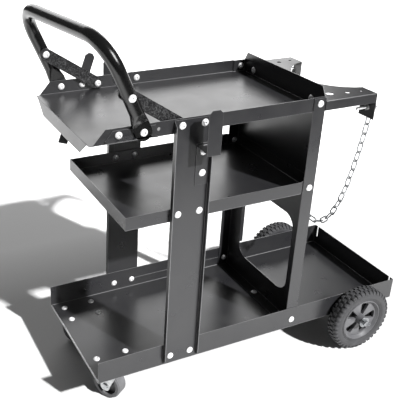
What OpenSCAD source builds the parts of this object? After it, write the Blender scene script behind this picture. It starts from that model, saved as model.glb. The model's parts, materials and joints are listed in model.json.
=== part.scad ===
// Welding cart: three folded sheet-steel trays on two front posts and a rear frame,
// a tubular push handle, two cable hooks, a chained rack for a gas bottle,
// two swivel casters in front and two rubber-tyred wheels behind.
// +X runs from the handle end to the bottle end, +Y to the user's left, +Z up.
// The origin is on the floor, in the middle of the cart's outline.

/* [Trays] */
// Length of the bottom tray, front to back
base_l = 740; // [690:5:840]
// Width of the trays over their side walls
tray_w = 280; // [270:2:330]
// Height of the bottom tray's walls
base_wall_h = 50; // [42:1:70]
// Height of the middle and top trays' walls
shelf_wall_h = 27; // [24:1:35]
// Underside of the middle tray above the floor
mid_z = 415; // [395:1:435]
// Underside of the top tray above the floor
top_z = 589; // [580:1:640]
// Middle tray's front edge behind the bottom tray's front edge
mid_setback = 51; // [30:1:80]
// Top tray's front edge ahead of the bottom tray's front edge
top_overhang = 18; // [5:1:35]
// Rise of the top tray's rear wall above its side walls
rear_wall_rise = 17.5; // [10:0.5:30]
// Depth of the lip folded down at the top tray's front edge
lip_drop = 26; // [15:1:35]
// Thickness of the tray, post and frame sheet
sheet_t = 1.5; // [1:0.1:2]

/* [Posts and rear frame] */
// Middle of the front posts behind the bottom tray's front edge
post_x = 178; // [168:1:200]
// Width of a front post
post_w = 76; // [68:1:90]
// Depth of a post's outer flanges
post_flange = 10; // [6:0.5:16]
// Half the distance between the two bolts in a row on a post
post_bolt_dx = 22.5; // [18:0.5:28]
// Front face of the rear panel behind the bottom tray's front edge
frame_x = 466; // [450:1:480]
// Depth of the rear frame's forward flanges
frame_flange = 26; // [22:1:34]
// Width of the window in the rear panel
window_w = 186; // [140:2:200]
// Height of the window in the rear panel
window_h = 189; // [150:1:220]
// Corner radius of the window
window_r = 30; // [15:1:45]

/* [Gas bottle rack] */
// Reach of the rack behind the rear panel
rack_reach = 127; // [120:1:150]
// Radius of the cradle that the bottle leans in
cradle_r = 100; // [90:1:105]
// Depth of the rack's side flanges
rack_flange = 20; // [16:1:30]
// Depth of the flanges at the rack's two tips
tip_flange = 56; // [50:1:66]
// Number of links that hang between the rack's tips (odd)
chain_links = 33; // [31:2:37]
// Wire thickness of the chain
chain_wire = 3; // [2.5:0.1:3.4]
// Length of the opening in a link
link_inner_l = 22.7; // [21:0.1:24]
// Width of the opening in a link
link_inner_w = 8; // [7.6:0.1:9]

/* [Handle] */
// Diameter of the handle tube
tube_d = 25; // [22:0.5:28]
// Height of the top of the handle above the floor
handle_h = 779.5; // [770:1:880]
// Forward lean of the handle, travel in X for each unit of height
handle_lean = 0.45; // [0.3:0.01:0.6]
// Centreline radius of the handle's bends
bend_r = 60; // [45:1:75]
// Holes by which the right leg is bolted further back than the left leg
near_leg_step = 1; // [0, 1]
// Width of a handle brace
brace_w = 24; // [20:1:28]
// Height of a brace's upper bolt above the floor
brace_top_z = 673; // [665:1:685]

/* [Hooks] */
// Reach of a cable hook from its post to its lip
hook_reach = 36; // [28:1:50]
// Width of a cable hook
hook_w = 28; // [24:1:34]
// Height of a cable hook's lip above its shelf
hook_lip_h = 77; // [60:1:90]

/* [Wheels] */
// Diameter of the rear wheels
wheel_d = 152; // [142:1:154]
// Width of a rear tyre
tyre_w = 33; // [28:1:40]
// Diameter of the rear axle
axle_d = 12; // [10:0.5:13]
// Rear axle behind the bottom tray's front edge
axle_x = 629; // [600:1:650]
// Number of lugs round a rear tyre
lug_count = 26; // [20:2:32]
// Number of spokes in a rear hub
spoke_count = 5; // [4:1:6]
// Overall height of a caster
caster_h = 86.6; // [86:0.2:100]
// Diameter of a caster wheel
caster_wheel_d = 64; // [56:1:66]
// Width of a caster wheel
caster_wheel_w = 28; // [22:1:30]
// Distance from a caster's swivel axis back to its wheel's axle
caster_trail = 13.3; // [10:0.1:16]
// Direction in which the caster wheels trail, from +X
caster_turn = 124; // [90:1:160]

/* [Fasteners] */
// Diameter of the assembly bolts
bolt_d = 6; // [5:0.5:7]
// Diameter of the bolt heads
head_d = 14; // [12:0.5:15]

/* [Hidden] */
$fn = 48;
// Overrun of every cut past the face it opens
cut = 1;
// Radial clearance of a bolt in its hole, and of a nut's thread on its bolt
hole_slack = 0.3;
thread_slack = 0.1;
// Radial clearance of a running fit
run_slack = 0.05;
// Gap left between pieces that turn past each other
turn_gap = 0.4;

// Bolts, nuts and the places of their rows
head_h = 3.6;
socket_d = 4;
dome_shares = [[1, 0], [1, 0.25], [0.87, 0.59], [0.62, 0.89]];
socket_depth = 1.8;
nut_af = 10;
nut_h = 5;
bolt_tail = 1.5;
hole_d = bolt_d + 2 * hole_slack;
shelf_bolt_rise = 14;
frame_mid_bolt_rise = 11;
base_bolt_rise = 20.7;
frame_bolt_setback = 11;

// Heights of the trays
base_z = caster_h;
base_floor = base_z + sheet_t;
top_top = top_z + shelf_wall_h;
half_w = tray_w / 2;
row_z = top_z + shelf_bolt_rise;

// Plan of the shelf trays, joggled inwards to pass inside the rear frame's flanges
seam_gap = 2;
joggle = 2 * sheet_t;
joggle_end = frame_x - frame_flange - seam_gap;

// Top tray's front edge
wall_chamfer_start = 8;
wall_chamfer_run = 23;
lip_taper = 34;
lip_inset = 10;
rear_clip = 10;

// Slits beside the bottom tray's rear corners
slit_w = 4;
slit_inset = 9;
slit_foot = 20;

// Front posts
post_foot_gap = 5;
post_top_gap = 2.5;
post_z0 = base_z + post_foot_gap;
post_z1 = top_top - post_top_gap;
front_bolt_x = post_x - post_bolt_dx;

// Rear frame
frame_half = half_w - sheet_t;
window_sill = 57;
window_return = 7;
foot_l = 24;
foot_corner = 12;
rear_bolt_y = 99;
rear_bolt_rise = 11.5;

// Gas bottle rack
rack_x0 = frame_x + sheet_t;
rack_x1 = rack_x0 + rack_reach - sheet_t;
rack_step = 8.5;
rack_z = top_top - rack_step;
arm_tip_w = 42;
cradle_x = rack_x1 + sqrt(pow(cradle_r, 2) - pow(half_w - arm_tip_w, 2));
arm_hole_ds = [16, 10, 7];
arm_hole_setbacks = [91, 52.5, 20.5];
arm_hole_insets = [34, 27, 24];
chain_bolt_drop = 34.5;
chain_bolt_y = 121;
keyhole_y = 131;
keyhole_d = 14;
keyhole_rise = 9;
slot_slack = 1.5;
chain_gap = 0.4;
nut_gap = 0.3;

// Chain: joints lie at equal steps along a catenary, links are its chords
wire_r = chain_wire / 2;
link_pitch = link_inner_l - chain_gap;
link_bend_r = link_inner_w / 2 + wire_r;
link_end = link_inner_l / 2 + wire_r;
chain_offset = 10;
chain_x = rack_x1 + chain_offset;
chain_bolt_z = rack_z - chain_bolt_drop;
chain_end_z = chain_bolt_z + bolt_d / 2 + chain_gap;
chain_pivot_z = chain_end_z + wire_r;
chain_mid_y = (keyhole_y - chain_bolt_y) / 2;
chain_half_span = (keyhole_y + chain_bolt_y) / 2;
chain_l = chain_links * link_pitch;
seat_offset = (link_inner_w / 2 - wire_r - chain_gap) / sqrt(2);
seat_reach = (link_inner_l - link_inner_w) / 2 + seat_offset;
seat_x = chain_x - seat_reach;
seat_z = chain_pivot_z + seat_offset;
slot_floor = seat_z - link_bend_r - wire_r - nut_gap;
chain_bolt_reach = 46;
head_play = 4;
chain_head_x = chain_x + wire_r + head_play;

// Handle, its brackets and braces
hole_pitch = 45;
leg_hole_x = 34.5;
leg_bracket_t = sheet_t;
blade_t = 4;
blade_w = 32;
blade_rise = 17;
blade_taper = 26;
// Crease at the top of the flattened foot, and the marks that bending leaves on the tube
crease = 0.6;
mark_rise = 0.05;
mark_l = 1;
leg_y = half_w - sheet_t + tube_d / 2;
grip_z = handle_h - tube_d / 2;
lean_angle = atan(handle_lean);
brace_t = 3;
brace_gap = head_h + turn_gap;
brace_floor_gap = 2.5;
spacer_d = 12;
leaf_l = 94;
leaf_front = 10;
leaf_h = 18;
leaf_foot = 5;
leaf_flange = 10;
leaf_slant = 14;
bar_w = 20;
bar_t = 3;
bar_lean = 19;
bar_up = 64;
bar_down = 131;
bar_clip = 6;
bar_relief = 8;

// Cable hooks
hook_plate_l = 82;
hook_plate_top = 565;
hook_shelf_drop = 5;
hook_lip_drop = 7;
hook_clip = 7;
hook_bolt_insets = [17, 58.5];

// Rear wheels and axle
wheel_r = wheel_d / 2;
wheel_in = half_w + 3;
wheel_mid = wheel_in + tyre_w / 2;
lug_h = 4;
lug_share = 0.56;
lug_rows = 3;
shoulder_r = 8;
rim_r = 51;
rim_t = 4;
rim_w = 24;
disc_t = 7;
hub_r = 12;
hub_over = 4;
hub_over_in = 2;
spoke_spread = 40;
spoke_turn = 40;
disc_out = 7.5;
axle_z = wheel_r;
washer_t = 2;
washer_r = 12.5;
washer_in_r = 10;
axle_over = 6;
pin_d = 2.5;
pin_l = 28;
pin_turn = 120;
eye_r = 3;
eye_wire = 2;
ear_t = 3;
ear_y = 118;
ear_w = 40;
ear_drop = 8;
ear_foot_l = 18;

// Casters
caster_x = 56.5;
caster_y = 94.4;
plate_l = 84;
plate_w = 62;
plate_t = 2.5;
plate_bolt_l = 64;
plate_bolt_w = 45;
plate_corner = 8;
ball_d = 5;
ball_ring_r = 15;
ball_count = 12;
race_r = 21;
race_in_r = 9;
race_t = 3;
race_gap = 1.7;
crown_t = 2.5;
crown_r = 21;
kingpin_d = 10;
kingpin_head_r = 8;
kingpin_head_t = 2.5;
cheek_t = 2.5;
cheek_top_w = 34;
cheek_eye_r = 11;
cheek_gap = 1.6;
caster_axle_d = 8;
caster_axle_head_r = 6.5;
caster_axle_head_t = 3;
caster_tread_t = 9;
caster_web_t = 6;
caster_hub_r = 10;
plate_z = base_z - plate_t;
race_low = plate_z - race_t;
ball_z = race_low - race_gap / 2;
crown_top = race_low - race_gap - race_t;
crown_low = crown_top - crown_t;
cheek_y = caster_wheel_w / 2 + cheek_gap;
caster_axle_z = caster_wheel_d / 2;

// Handle corners and bends, worked out in the handle's sloping plane
function foot_x(side) = leg_hole_x + (side < 0 ? near_leg_step * hole_pitch : 0);
function brace_foot_x(side) = front_bolt_x + (side < 0 ? (near_leg_step - 1) * hole_pitch : -hole_pitch);
function leg_x(side, z) = foot_x(side) - handle_lean * (z - row_z);
function corner(side) = [leg_x(side, grip_z), side * leg_y, grip_z];
function unit(v) = v / norm(v);
leg_down = unit([handle_lean, 0, -1]);
function along_grip(side) = unit(corner(-side) - corner(side));
function corner_angle(side) = acos(leg_down * along_grip(side));
function tangent_l(side) = bend_r / tan(corner_angle(side) / 2);
function bend_centre(side) =
    corner(side) + unit(leg_down + along_grip(side)) * bend_r / sin(corner_angle(side) / 2);
function leg_top_l(side) = norm(corner(side) - [foot_x(side), side * leg_y, row_z]) - tangent_l(side);
function bend_end(side, way) = corner(side) + way * tangent_l(side);
plane_normal = unit(cross(leg_down, along_grip(1)));

// Outline in X, and the shift that puts the origin in its middle
x_low = bend_centre(1)[0] - bend_r * sqrt(1 - pow(plane_normal[0], 2)) - tube_d / 2;
x_high = base_l;
x_mid = (x_low + x_high) / 2;

// Catenary: sag parameter from half span and half length, by halving an interval
function sinh_of(v) = (exp(v) - exp(-v)) / 2;
function asinh_of(v) = ln(v + sqrt(v * v + 1));
function catenary_a(low, high, steps) =
    let (middle = (low + high) / 2)
    steps == 0 ? middle
    : middle * sinh_of(chain_half_span / middle) > chain_l / 2
        ? catenary_a(middle, high, steps - 1)
        : catenary_a(low, middle, steps - 1);
halvings = 40;
chain_a = catenary_a(chain_half_span / 12, chain_half_span * 4, halvings);
function arc_to_y(s) = chain_mid_y + chain_a * asinh_of(s / chain_a);
function arc_to_z(s) =
    chain_end_z - sqrt(pow(chain_l / 2, 2) + pow(chain_a, 2)) + sqrt(s * s + pow(chain_a, 2));
function chain_joint(i) =
    let (s = i * link_pitch - chain_l / 2)
    [chain_x, arc_to_y(s), arc_to_z(s)];

steel_black = "#2b2b2d";
zinc = "#c9cbce";
rubber_grey = "#58595b";
plastic_black = "#202022";

// Places every piece from the tray's own measures into the cart's frame
module placed() translate([-x_mid, 0, 0]) children();

// Mirrors a left-hand piece to the right when side is -1
module sided(side) mirror([0, side < 0 ? 1 : 0, 0]) children();

// Rod between two points, and a bend swept from leg to grip
function square_to(v) = abs(v[1]) < norm(v) / 2 ? unit(cross([0, 1, 0], v)) : unit(cross([0, 0, 1], v));

module in_axes(ex, ey, ez, origin)
    multmatrix([
        [ex[0], ey[0], ez[0], origin[0]],
        [ex[1], ey[1], ez[1], origin[1]],
        [ex[2], ey[2], ez[2], origin[2]],
        [0, 0, 0, 1]])
        children();

module rod(from, to, d) {
    ez = unit(to - from);
    ex = square_to(ez);
    in_axes(ex, cross(ez, ex), ez, from)
        cylinder(h = norm(to - from), d = d);
}

// Puts a flat outline, drawn in X and Z, upright with its thickness along +Y
module upright(t) rotate([90, 0, 0]) mirror([0, 0, 1]) linear_extrude(t) children();

// Puts a flat outline, drawn in Y and Z, upright with its thickness along +X
module crosswise(t) rotate([90, 0, 90]) linear_extrude(t) children();

module round_rect(l, w, r) {
    square([l - 2 * r, w], center = true);
    square([l, w - 2 * r], center = true);
    for (x = [-1, 1], y = [-1, 1])
        translate([x * (l / 2 - r), y * (w / 2 - r)]) circle(r);
}

// Fasteners: z = 0 is the face under the head, and the shank points down
module bolt(grip) {
    difference() {
        rotate_extrude()
            polygon(concat([[0, 0]], [for (share = dome_shares)
                [head_d / 2 * share[0], head_h * share[1]]], [[socket_d / 2, head_h], [0, head_h]]));
        translate([0, 0, head_h - socket_depth])
            cylinder(h = socket_depth + cut, d = socket_d, $fn = 6);
    }
    translate([0, 0, -grip - nut_h - bolt_tail])
        cylinder(h = grip + nut_h + bolt_tail, d = bolt_d);
}

module nut(grip)
    translate([0, 0, -grip - nut_h])
        difference() {
            cylinder(h = nut_h, r = nut_af / sqrt(3), $fn = 6);
            translate([0, 0, -cut]) cylinder(h = nut_h + 2 * cut, d = bolt_d + 2 * thread_slack);
        }

// A place on a side: x, z, outer face, grip. Heads face in on the left and out on the right
module on_side(side, place)
    sided(side)
        translate([place[0], side > 0 ? place[2] - place[3] : place[2], place[1]])
            rotate([side > 0 ? 90 : -90, 0, 0])
                children();

module side_hole(x, z, y0, depth)
    translate([x, y0 - cut, z]) rotate([-90, 0, 0]) cylinder(h = depth + 2 * cut, d = hole_d);

post_rows = [row_z, mid_z + shelf_bolt_rise, base_z + base_bolt_rise];
function post_places(side) = [
    for (x = [post_x - post_bolt_dx, post_x + post_bolt_dx], z = post_rows)
        [x, z, half_w + sheet_t,
            2 * sheet_t + (x == brace_foot_x(side) && z == row_z ? brace_gap + brace_t : 0)]];

frame_bolt_x = frame_x - frame_bolt_setback;
frame_rows = [[row_z, frame_half], [mid_z + frame_mid_bolt_rise, frame_half],
    [base_z + base_bolt_rise, half_w]];
function frame_places() = [for (row = frame_rows) [frame_bolt_x, row[0], row[1], 2 * sheet_t]];

leg_holes = [leg_hole_x, leg_hole_x + hole_pitch];
function leg_place(side, x) =
    let (extra = x == foot_x(side) ? blade_t : side > 0 ? bar_t : 0)
    [x, row_z, half_w + leg_bracket_t + extra, sheet_t + leg_bracket_t + extra];
function brace_places(side) =
    brace_foot_x(side) == front_bolt_x ? []
    : [[brace_foot_x(side), row_z, half_w, sheet_t + brace_gap + brace_t]];
function brace_top_place(side) =
    [leg_x(side, brace_top_z), brace_top_z, leg_y + tube_d / 2, tube_d + brace_gap + brace_t];
function handle_places(side) = concat(
    [for (x = leg_holes) leg_place(side, x)], brace_places(side), [brace_top_place(side)]);

hook_x = post_x + post_bolt_dx;
function hook_centre(side) = side < 0 ? hook_x : post_x - post_bolt_dx;
function hook_places(side) = [for (drop = hook_bolt_insets)
    [hook_centre(side), hook_plate_top - drop, half_w + 2 * sheet_t, 2 * sheet_t]];

module bolts_at(places, side) for (place = places) on_side(side, place) bolt(place[3]);
module nuts_at(places, side) for (place = places) on_side(side, place) nut(place[3]);

// Trays
function shelf_plan(x0, inset) = [
    [x0 + inset, inset - half_w], [joggle_end - joggle, inset - half_w],
    [joggle_end, inset + joggle - half_w], [frame_x - inset, inset + joggle - half_w],
    [frame_x - inset, half_w - joggle - inset], [joggle_end, half_w - joggle - inset],
    [joggle_end - joggle, half_w - inset], [x0 + inset, half_w - inset]];

module shelf(x0, z) {
    translate([0, 0, z]) {
        linear_extrude(sheet_t) polygon(shelf_plan(x0, 0));
        linear_extrude(shelf_wall_h)
            difference() {
                polygon(shelf_plan(x0, 0));
                polygon(shelf_plan(x0, sheet_t));
            }
    }
}

module shelf_side_holes(z) {
    for (side = [-1, 1])
        sided(side) {
            for (x = [post_x - post_bolt_dx, post_x + post_bolt_dx])
                side_hole(x, z, half_w - sheet_t, sheet_t);
        }
}

module bottom_tray() color(steel_black) placed() difference() {
    translate([0, -half_w, base_z]) {
        cube([base_l, tray_w, sheet_t]);
        for (y = [0, tray_w - sheet_t])
            translate([0, y, 0]) cube([base_l, sheet_t, base_wall_h]);
        translate([base_l - sheet_t, 0, 0]) cube([sheet_t, tray_w, base_wall_h]);
    }
    for (side = [-1, 1]) sided(side) {
        translate([base_l - sheet_t - cut, half_w - slit_inset - slit_w, base_z + slit_foot])
            cube([sheet_t + 2 * cut, slit_w, base_wall_h]);
        for (x = [post_x - post_bolt_dx, post_x + post_bolt_dx, frame_bolt_x])
            side_hole(x, base_z + base_bolt_rise, half_w - sheet_t, sheet_t);
        for (p = plate_bolt_places())
            translate([caster_x + p[0], caster_y + p[1], base_z - cut])
                cylinder(h = sheet_t + 2 * cut, d = hole_d);
    }
    translate([frame_bolt_x, 0, base_z - cut]) cylinder(h = sheet_t + 2 * cut, d = hole_d);
}

module middle_tray() color(steel_black) placed() difference() {
    shelf(mid_setback, mid_z);
    shelf_side_holes(mid_z + shelf_bolt_rise);
    for (side = [-1, 1]) sided(side)
        side_hole(frame_bolt_x, mid_z + frame_mid_bolt_rise, frame_half - 2 * sheet_t, sheet_t);
}

module top_tray() color(steel_black) placed() difference() {
    union() {
        difference() {
            shelf(-top_overhang, top_z);
            translate([-top_overhang - cut, -half_w - cut, 0])
                upright(tray_w + 2 * cut)
                    polygon([[0, top_z + sheet_t], [cut + wall_chamfer_start, top_z + sheet_t],
                        [cut + wall_chamfer_start + wall_chamfer_run, top_top + cut],
                        [0, top_top + cut]]);
        }
        // Front lip and raised rear wall
        translate([-top_overhang, 0, top_z + sheet_t])
            crosswise(sheet_t)
                polygon([[lip_inset - half_w, 0], [half_w - lip_inset, 0],
                    [half_w - lip_inset - lip_taper, -lip_drop - sheet_t],
                    [lip_inset + lip_taper - half_w, -lip_drop - sheet_t]]);
        translate([frame_x - sheet_t, 0, top_top])
            crosswise(sheet_t)
                polygon([[joggle - half_w, 0], [half_w - joggle, 0],
                    [half_w - joggle - rear_clip, rear_wall_rise],
                    [joggle + rear_clip - half_w, rear_wall_rise]]);
    }
    shelf_side_holes(row_z);
    for (side = [-1, 1]) sided(side) {
        for (x = concat(leg_holes, [brace_foot_x(1)]))
            side_hole(x, row_z, half_w - sheet_t, sheet_t);
        side_hole(frame_bolt_x, row_z, frame_half - 2 * sheet_t, sheet_t);
        rear_wall_hole(frame_x - sheet_t, sheet_t);
    }
}

module rear_wall_hole(x0, depth)
    translate([x0 - cut, rear_bolt_y, top_z + rear_bolt_rise])
        rotate([0, 90, 0]) cylinder(h = depth + 2 * cut, d = hole_d);

// Front posts: a flat web with flanges folded outwards, their ends cut at 45 degrees
module front_post(side) color(steel_black) placed() sided(side) difference() {
    union() {
        translate([post_x - post_w / 2, half_w, post_z0])
            cube([post_w, sheet_t, post_z1 - post_z0]);
        for (x = [post_x - post_w / 2, post_x + post_w / 2 - sheet_t])
            translate([x, half_w, 0])
                crosswise(sheet_t)
                    polygon([[0, post_z0], [post_flange, post_z0 + post_flange],
                        [post_flange, post_z1 - post_flange], [0, post_z1]]);
    }
    for (x = [post_x - post_bolt_dx, post_x + post_bolt_dx], z = post_rows)
        side_hole(x, z, half_w, sheet_t);
    for (place = hook_places(side)) side_hole(place[0], place[1], half_w, sheet_t);
}
module front_post_left() front_post(1);
module front_post_right() front_post(-1);

// Rear frame: a panel with a window, forward side flanges and a bolted foot
module window_outline(grow)
    translate([0, base_z + window_sill + window_h / 2])
        round_rect(window_w + 2 * grow, window_h + 2 * grow, window_r + grow);

module rear_frame() color(steel_black) placed() difference() {
    union() {
        translate([frame_x, 0, 0]) crosswise(sheet_t)
            difference() {
                translate([-frame_half, base_floor]) square([2 * frame_half, post_z1 - base_floor]);
                window_outline(0);
            }
        // Return folded back along the window's two upright edges
        translate([frame_x, 0, 0])
            for (side = [-1, 1]) sided(side)
                translate([0, window_w / 2, base_z + window_sill + window_r])
                    cube([sheet_t + window_return, sheet_t, window_h - 2 * window_r]);
        for (side = [-1, 1]) sided(side)
            translate([frame_x - frame_flange, frame_half - sheet_t, base_floor])
                cube([frame_flange, sheet_t, post_z1 - base_floor]);
        translate([frame_x - foot_l, 0, base_floor])
            linear_extrude(sheet_t)
                polygon([[0, foot_corner + joggle - frame_half], [foot_corner, joggle - frame_half],
                    [foot_l, joggle - frame_half], [foot_l, frame_half - joggle],
                    [foot_corner, frame_half - joggle], [0, frame_half - joggle - foot_corner]]);
    }
    for (side = [-1, 1]) sided(side) {
        for (row = frame_rows) side_hole(frame_bolt_x, row[0], frame_half - sheet_t, sheet_t);
        rear_wall_hole(frame_x, sheet_t);
    }
    translate([frame_bolt_x, 0, base_floor - cut]) cylinder(h = sheet_t + 2 * cut, d = hole_d);
}

// Gas bottle rack: a plate with a round cradle, three holes in each arm and folded flanges
module bottle_rack() color(steel_black) placed() difference() {
    union() {
        translate([rack_x0, -half_w, rack_z - sheet_t]) cube([rack_reach - sheet_t, tray_w, sheet_t]);
        translate([rack_x0, -half_w, rack_z - rack_flange]) cube([sheet_t, tray_w, rack_flange]);
        for (side = [-1, 1]) sided(side) {
            translate([rack_x0, half_w - sheet_t, rack_z - rack_flange])
                cube([rack_reach - sheet_t, sheet_t, rack_flange]);
            translate([rack_x1 - sheet_t, half_w - arm_tip_w, rack_z - tip_flange])
                cube([sheet_t, arm_tip_w, tip_flange]);
        }
    }
    translate([cradle_x, 0, rack_z - sheet_t - cut]) cylinder(h = sheet_t + 2 * cut, r = cradle_r, $fn = 96);
    for (side = [-1, 1]) sided(side) {
        for (i = [0:len(arm_hole_ds) - 1])
            translate([rack_x1 - arm_hole_setbacks[i], half_w - arm_hole_insets[i], rack_z - sheet_t - cut])
                cylinder(h = sheet_t + 2 * cut, d = arm_hole_ds[i]);
        rear_wall_hole(rack_x0, sheet_t);
    }
    // Hole for the chain's bolt on the right, keyhole for its free end on the left
    translate([rack_x1 - sheet_t - cut, -chain_bolt_y, chain_bolt_z])
        rotate([0, 90, 0]) cylinder(h = sheet_t + 2 * cut, d = hole_d);
    translate([rack_x1 - sheet_t - cut, keyhole_y, slot_floor])
        crosswise(sheet_t + 2 * cut) {
            translate([-slot_w() / 2, 0]) square([slot_w(), keyhole_rise + keyhole_d / 2]);
            translate([0, keyhole_rise + keyhole_d / 2]) circle(d = keyhole_d);
        }
}
function slot_w() = chain_wire + slot_slack;

// Handle: one bent tube whose ends are flattened and bolted to the top tray's walls
module leg(side)
    translate([foot_x(side), 0, row_z]) rotate([0, -lean_angle, 0]) sided(side) {
        translate([-blade_w / 2, half_w + leg_bracket_t, 0]) cube([blade_w, blade_t, blade_rise]);
        translate([0, half_w + leg_bracket_t, 0]) rotate([-90, 0, 0]) cylinder(h = blade_t, d = blade_w);
        hull() {
            translate([-blade_w / 2, half_w + leg_bracket_t, blade_rise]) cube([blade_w, blade_t, cut]);
            translate([0, leg_y, blade_rise + blade_taper]) cylinder(h = cut, d = tube_d - 2 * crease);
        }
        translate([0, leg_y, blade_rise + blade_taper])
            cylinder(h = leg_top_l(side) - blade_rise - blade_taper, d = tube_d);
    }

module handle_bend(side) {
    start = corner(side) + leg_down * tangent_l(side);
    ex = unit(start - bend_centre(side));
    ey = -leg_down;
    in_axes(ex, ey, cross(ex, ey), bend_centre(side))
        rotate_extrude(angle = 180 - corner_angle(side), $fn = 96)
            translate([bend_r, 0]) circle(d = tube_d);
}

module handle() color(steel_black) placed() difference() {
    union() {
        for (side = [-1, 1]) {
            leg(side);
            handle_bend(side);
        }
        rod(bend_end(1, along_grip(1)), bend_end(-1, along_grip(-1)), tube_d);
        for (side = [-1, 1], way = [leg_down, along_grip(side)])
            rod(bend_end(side, way) - way * mark_l, bend_end(side, way) + way * mark_l,
                tube_d + 2 * mark_rise);
    }
    for (side = [-1, 1]) sided(side) {
        side_hole(foot_x(side), row_z, half_w, tube_d);
        side_hole(leg_x(side, brace_top_z), brace_top_z, leg_y - tube_d / 2, tube_d);
    }
}

// Flat braces from the tray's side walls up to the handle's legs
module handle_brace(side) color(steel_black) placed() {
    run = leg_x(side, brace_top_z) - brace_foot_x(side);
    rise = brace_top_z - row_z;
    length = norm([run, rise]);
    sided(side)
        translate([brace_foot_x(side), half_w - sheet_t - brace_gap - brace_t, row_z])
            upright(brace_t)
                difference() {
                    rotate(atan2(rise, run)) difference() {
                        union() {
                            translate([0, -brace_w / 2]) square([length, brace_w]);
                            for (x = [0, length]) translate([x, 0]) circle(d = brace_w);
                        }
                        for (x = [0, length]) translate([x, 0]) circle(d = hole_d);
                    }
                    // Foot cut level above the tray's floor
                    translate([-brace_w, top_z + sheet_t + brace_floor_gap - row_z - brace_w])
                        square([2 * brace_w, brace_w]);
                }
}
module brace_spacers() color(zinc) placed() for (side = [-1, 1]) sided(side)
    for (place = [[brace_foot_x(side), row_z], [leg_x(side, brace_top_z), brace_top_z]])
        translate([place[0], half_w - sheet_t - brace_gap, place[1]]) upright(brace_gap)
            difference() {
                circle(d = spacer_d);
                circle(d = hole_d);
            }
module handle_brace_left() handle_brace(1);
module handle_brace_right() handle_brace(-1);

// Angle brackets that stiffen the walls under the handle's bolts
module handle_bracket(side) color(steel_black) placed() sided(side) difference() {
    union() {
        translate([leaf_front, half_w, top_z + leaf_foot]) upright(leg_bracket_t)
            polygon([[0, 0], [leaf_l, 0], [leaf_l, leaf_h], [leaf_slant, leaf_h]]);
        translate([leaf_front, half_w, top_z + leaf_foot])
            cube([leaf_l, leg_bracket_t + leaf_flange, leg_bracket_t]);
    }
    for (x = leg_holes) side_hole(x, row_z, half_w, leg_bracket_t);
    // Relief for the leg's rounded foot, and on the left for the side bar
    side_relief(foot_x(side), blade_w / 2 + nut_gap);
    if (side > 0)
        translate([leg_holes[1] - shelf_bolt_rise * tan(bar_lean) / 2 - bar_w / 2 - bar_relief,
            half_w + leg_bracket_t, top_z])
            cube([bar_w + 2 * bar_relief, leaf_flange + cut, shelf_wall_h]);
}

module side_relief(x, r)
    translate([x, half_w + leg_bracket_t, row_z])
        rotate([-90, 0, 0]) cylinder(h = leaf_flange + cut, r = r);
module handle_bracket_left() handle_bracket(1);
module handle_bracket_right() handle_bracket(-1);

// Cable hooks: back plate on the post, shelf, and an upright lip with clipped corners
module cable_hook(side) color(steel_black) placed() sided(side)
    translate([hook_centre(side), half_w + sheet_t, 0]) difference() {
        union() {
            translate([-hook_w / 2, 0, hook_plate_top - hook_plate_l]) cube([hook_w, sheet_t, hook_plate_l]);
            translate([-hook_w / 2, 0, hook_plate_top - hook_shelf_drop - sheet_t])
                cube([hook_w, hook_reach, sheet_t]);
            translate([0, hook_reach - sheet_t, hook_plate_top - hook_shelf_drop - hook_lip_drop])
                upright(sheet_t)
                    polygon([[-hook_w / 2, 0], [hook_w / 2, 0],
                        [hook_w / 2, hook_lip_h + hook_lip_drop - hook_clip],
                        [hook_w / 2 - hook_clip, hook_lip_h + hook_lip_drop],
                        [hook_clip - hook_w / 2, hook_lip_h + hook_lip_drop],
                        [-hook_w / 2, hook_lip_h + hook_lip_drop - hook_clip]]);
        }
        for (drop = hook_bolt_insets) side_hole(0, hook_plate_top - drop, 0, sheet_t);
    }
module cable_hook_left() cable_hook(1);
module cable_hook_right() cable_hook(-1);

// Leaning flat bar outside the left wall, its top corner clipped
module side_bar() color(steel_black) placed()
    translate([leg_holes[1], half_w + leg_bracket_t, row_z])
        rotate([0, bar_lean, 0])
            upright(bar_t)
                difference() {
                    polygon([[-bar_w / 2, -bar_down], [bar_w / 2, -bar_down],
                        [bar_w / 2, bar_up - bar_clip], [bar_w / 2 - bar_clip, bar_up],
                        [bar_clip - bar_w / 2, bar_up], [-bar_w / 2, bar_up - bar_clip]]);
                    circle(d = hole_d);
                }

// Fasteners of the frame
module post_bolts() color(zinc) placed() for (side = [-1, 1]) bolts_at(post_places(side), side);
module post_nuts() color(zinc) placed() for (side = [-1, 1]) nuts_at(post_places(side), side);
module handle_bolts() color(zinc) placed() for (side = [-1, 1]) bolts_at(handle_places(side), side);
module handle_nuts() color(zinc) placed() for (side = [-1, 1]) nuts_at(handle_places(side), side);
module hook_bolts() color(zinc) placed() for (side = [-1, 1]) bolts_at(hook_places(side), side);
module hook_nuts() color(zinc) placed() for (side = [-1, 1]) nuts_at(hook_places(side), side);

module at_rear_bolts()
    for (side = [-1, 1])
        translate([frame_x - sheet_t, side * rear_bolt_y, top_z + rear_bolt_rise])
            rotate([0, -90, 0]) children();
module frame_bolts() color(zinc) placed() {
    for (side = [-1, 1]) bolts_at(frame_places(), side);
    at_rear_bolts() bolt(3 * sheet_t);
    translate([frame_bolt_x, 0, base_floor + sheet_t]) bolt(2 * sheet_t);
}
module frame_nuts() color(zinc) placed() {
    for (side = [-1, 1]) nuts_at(frame_places(), side);
    at_rear_bolts() rotate(30) nut(3 * sheet_t);
    translate([frame_bolt_x, 0, base_floor + sheet_t]) nut(2 * sheet_t);
}

// Rear axle, carried in two ears under the bottom tray
axle_half = wheel_in + tyre_w + hub_over + turn_gap + washer_t + axle_over;
function pin_y() = axle_half - axle_over + pin_d / 2 + nut_gap;
module across(y0, l, d) translate([axle_x, y0, axle_z]) rotate([-90, 0, 0]) cylinder(h = l, d = d);

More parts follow.
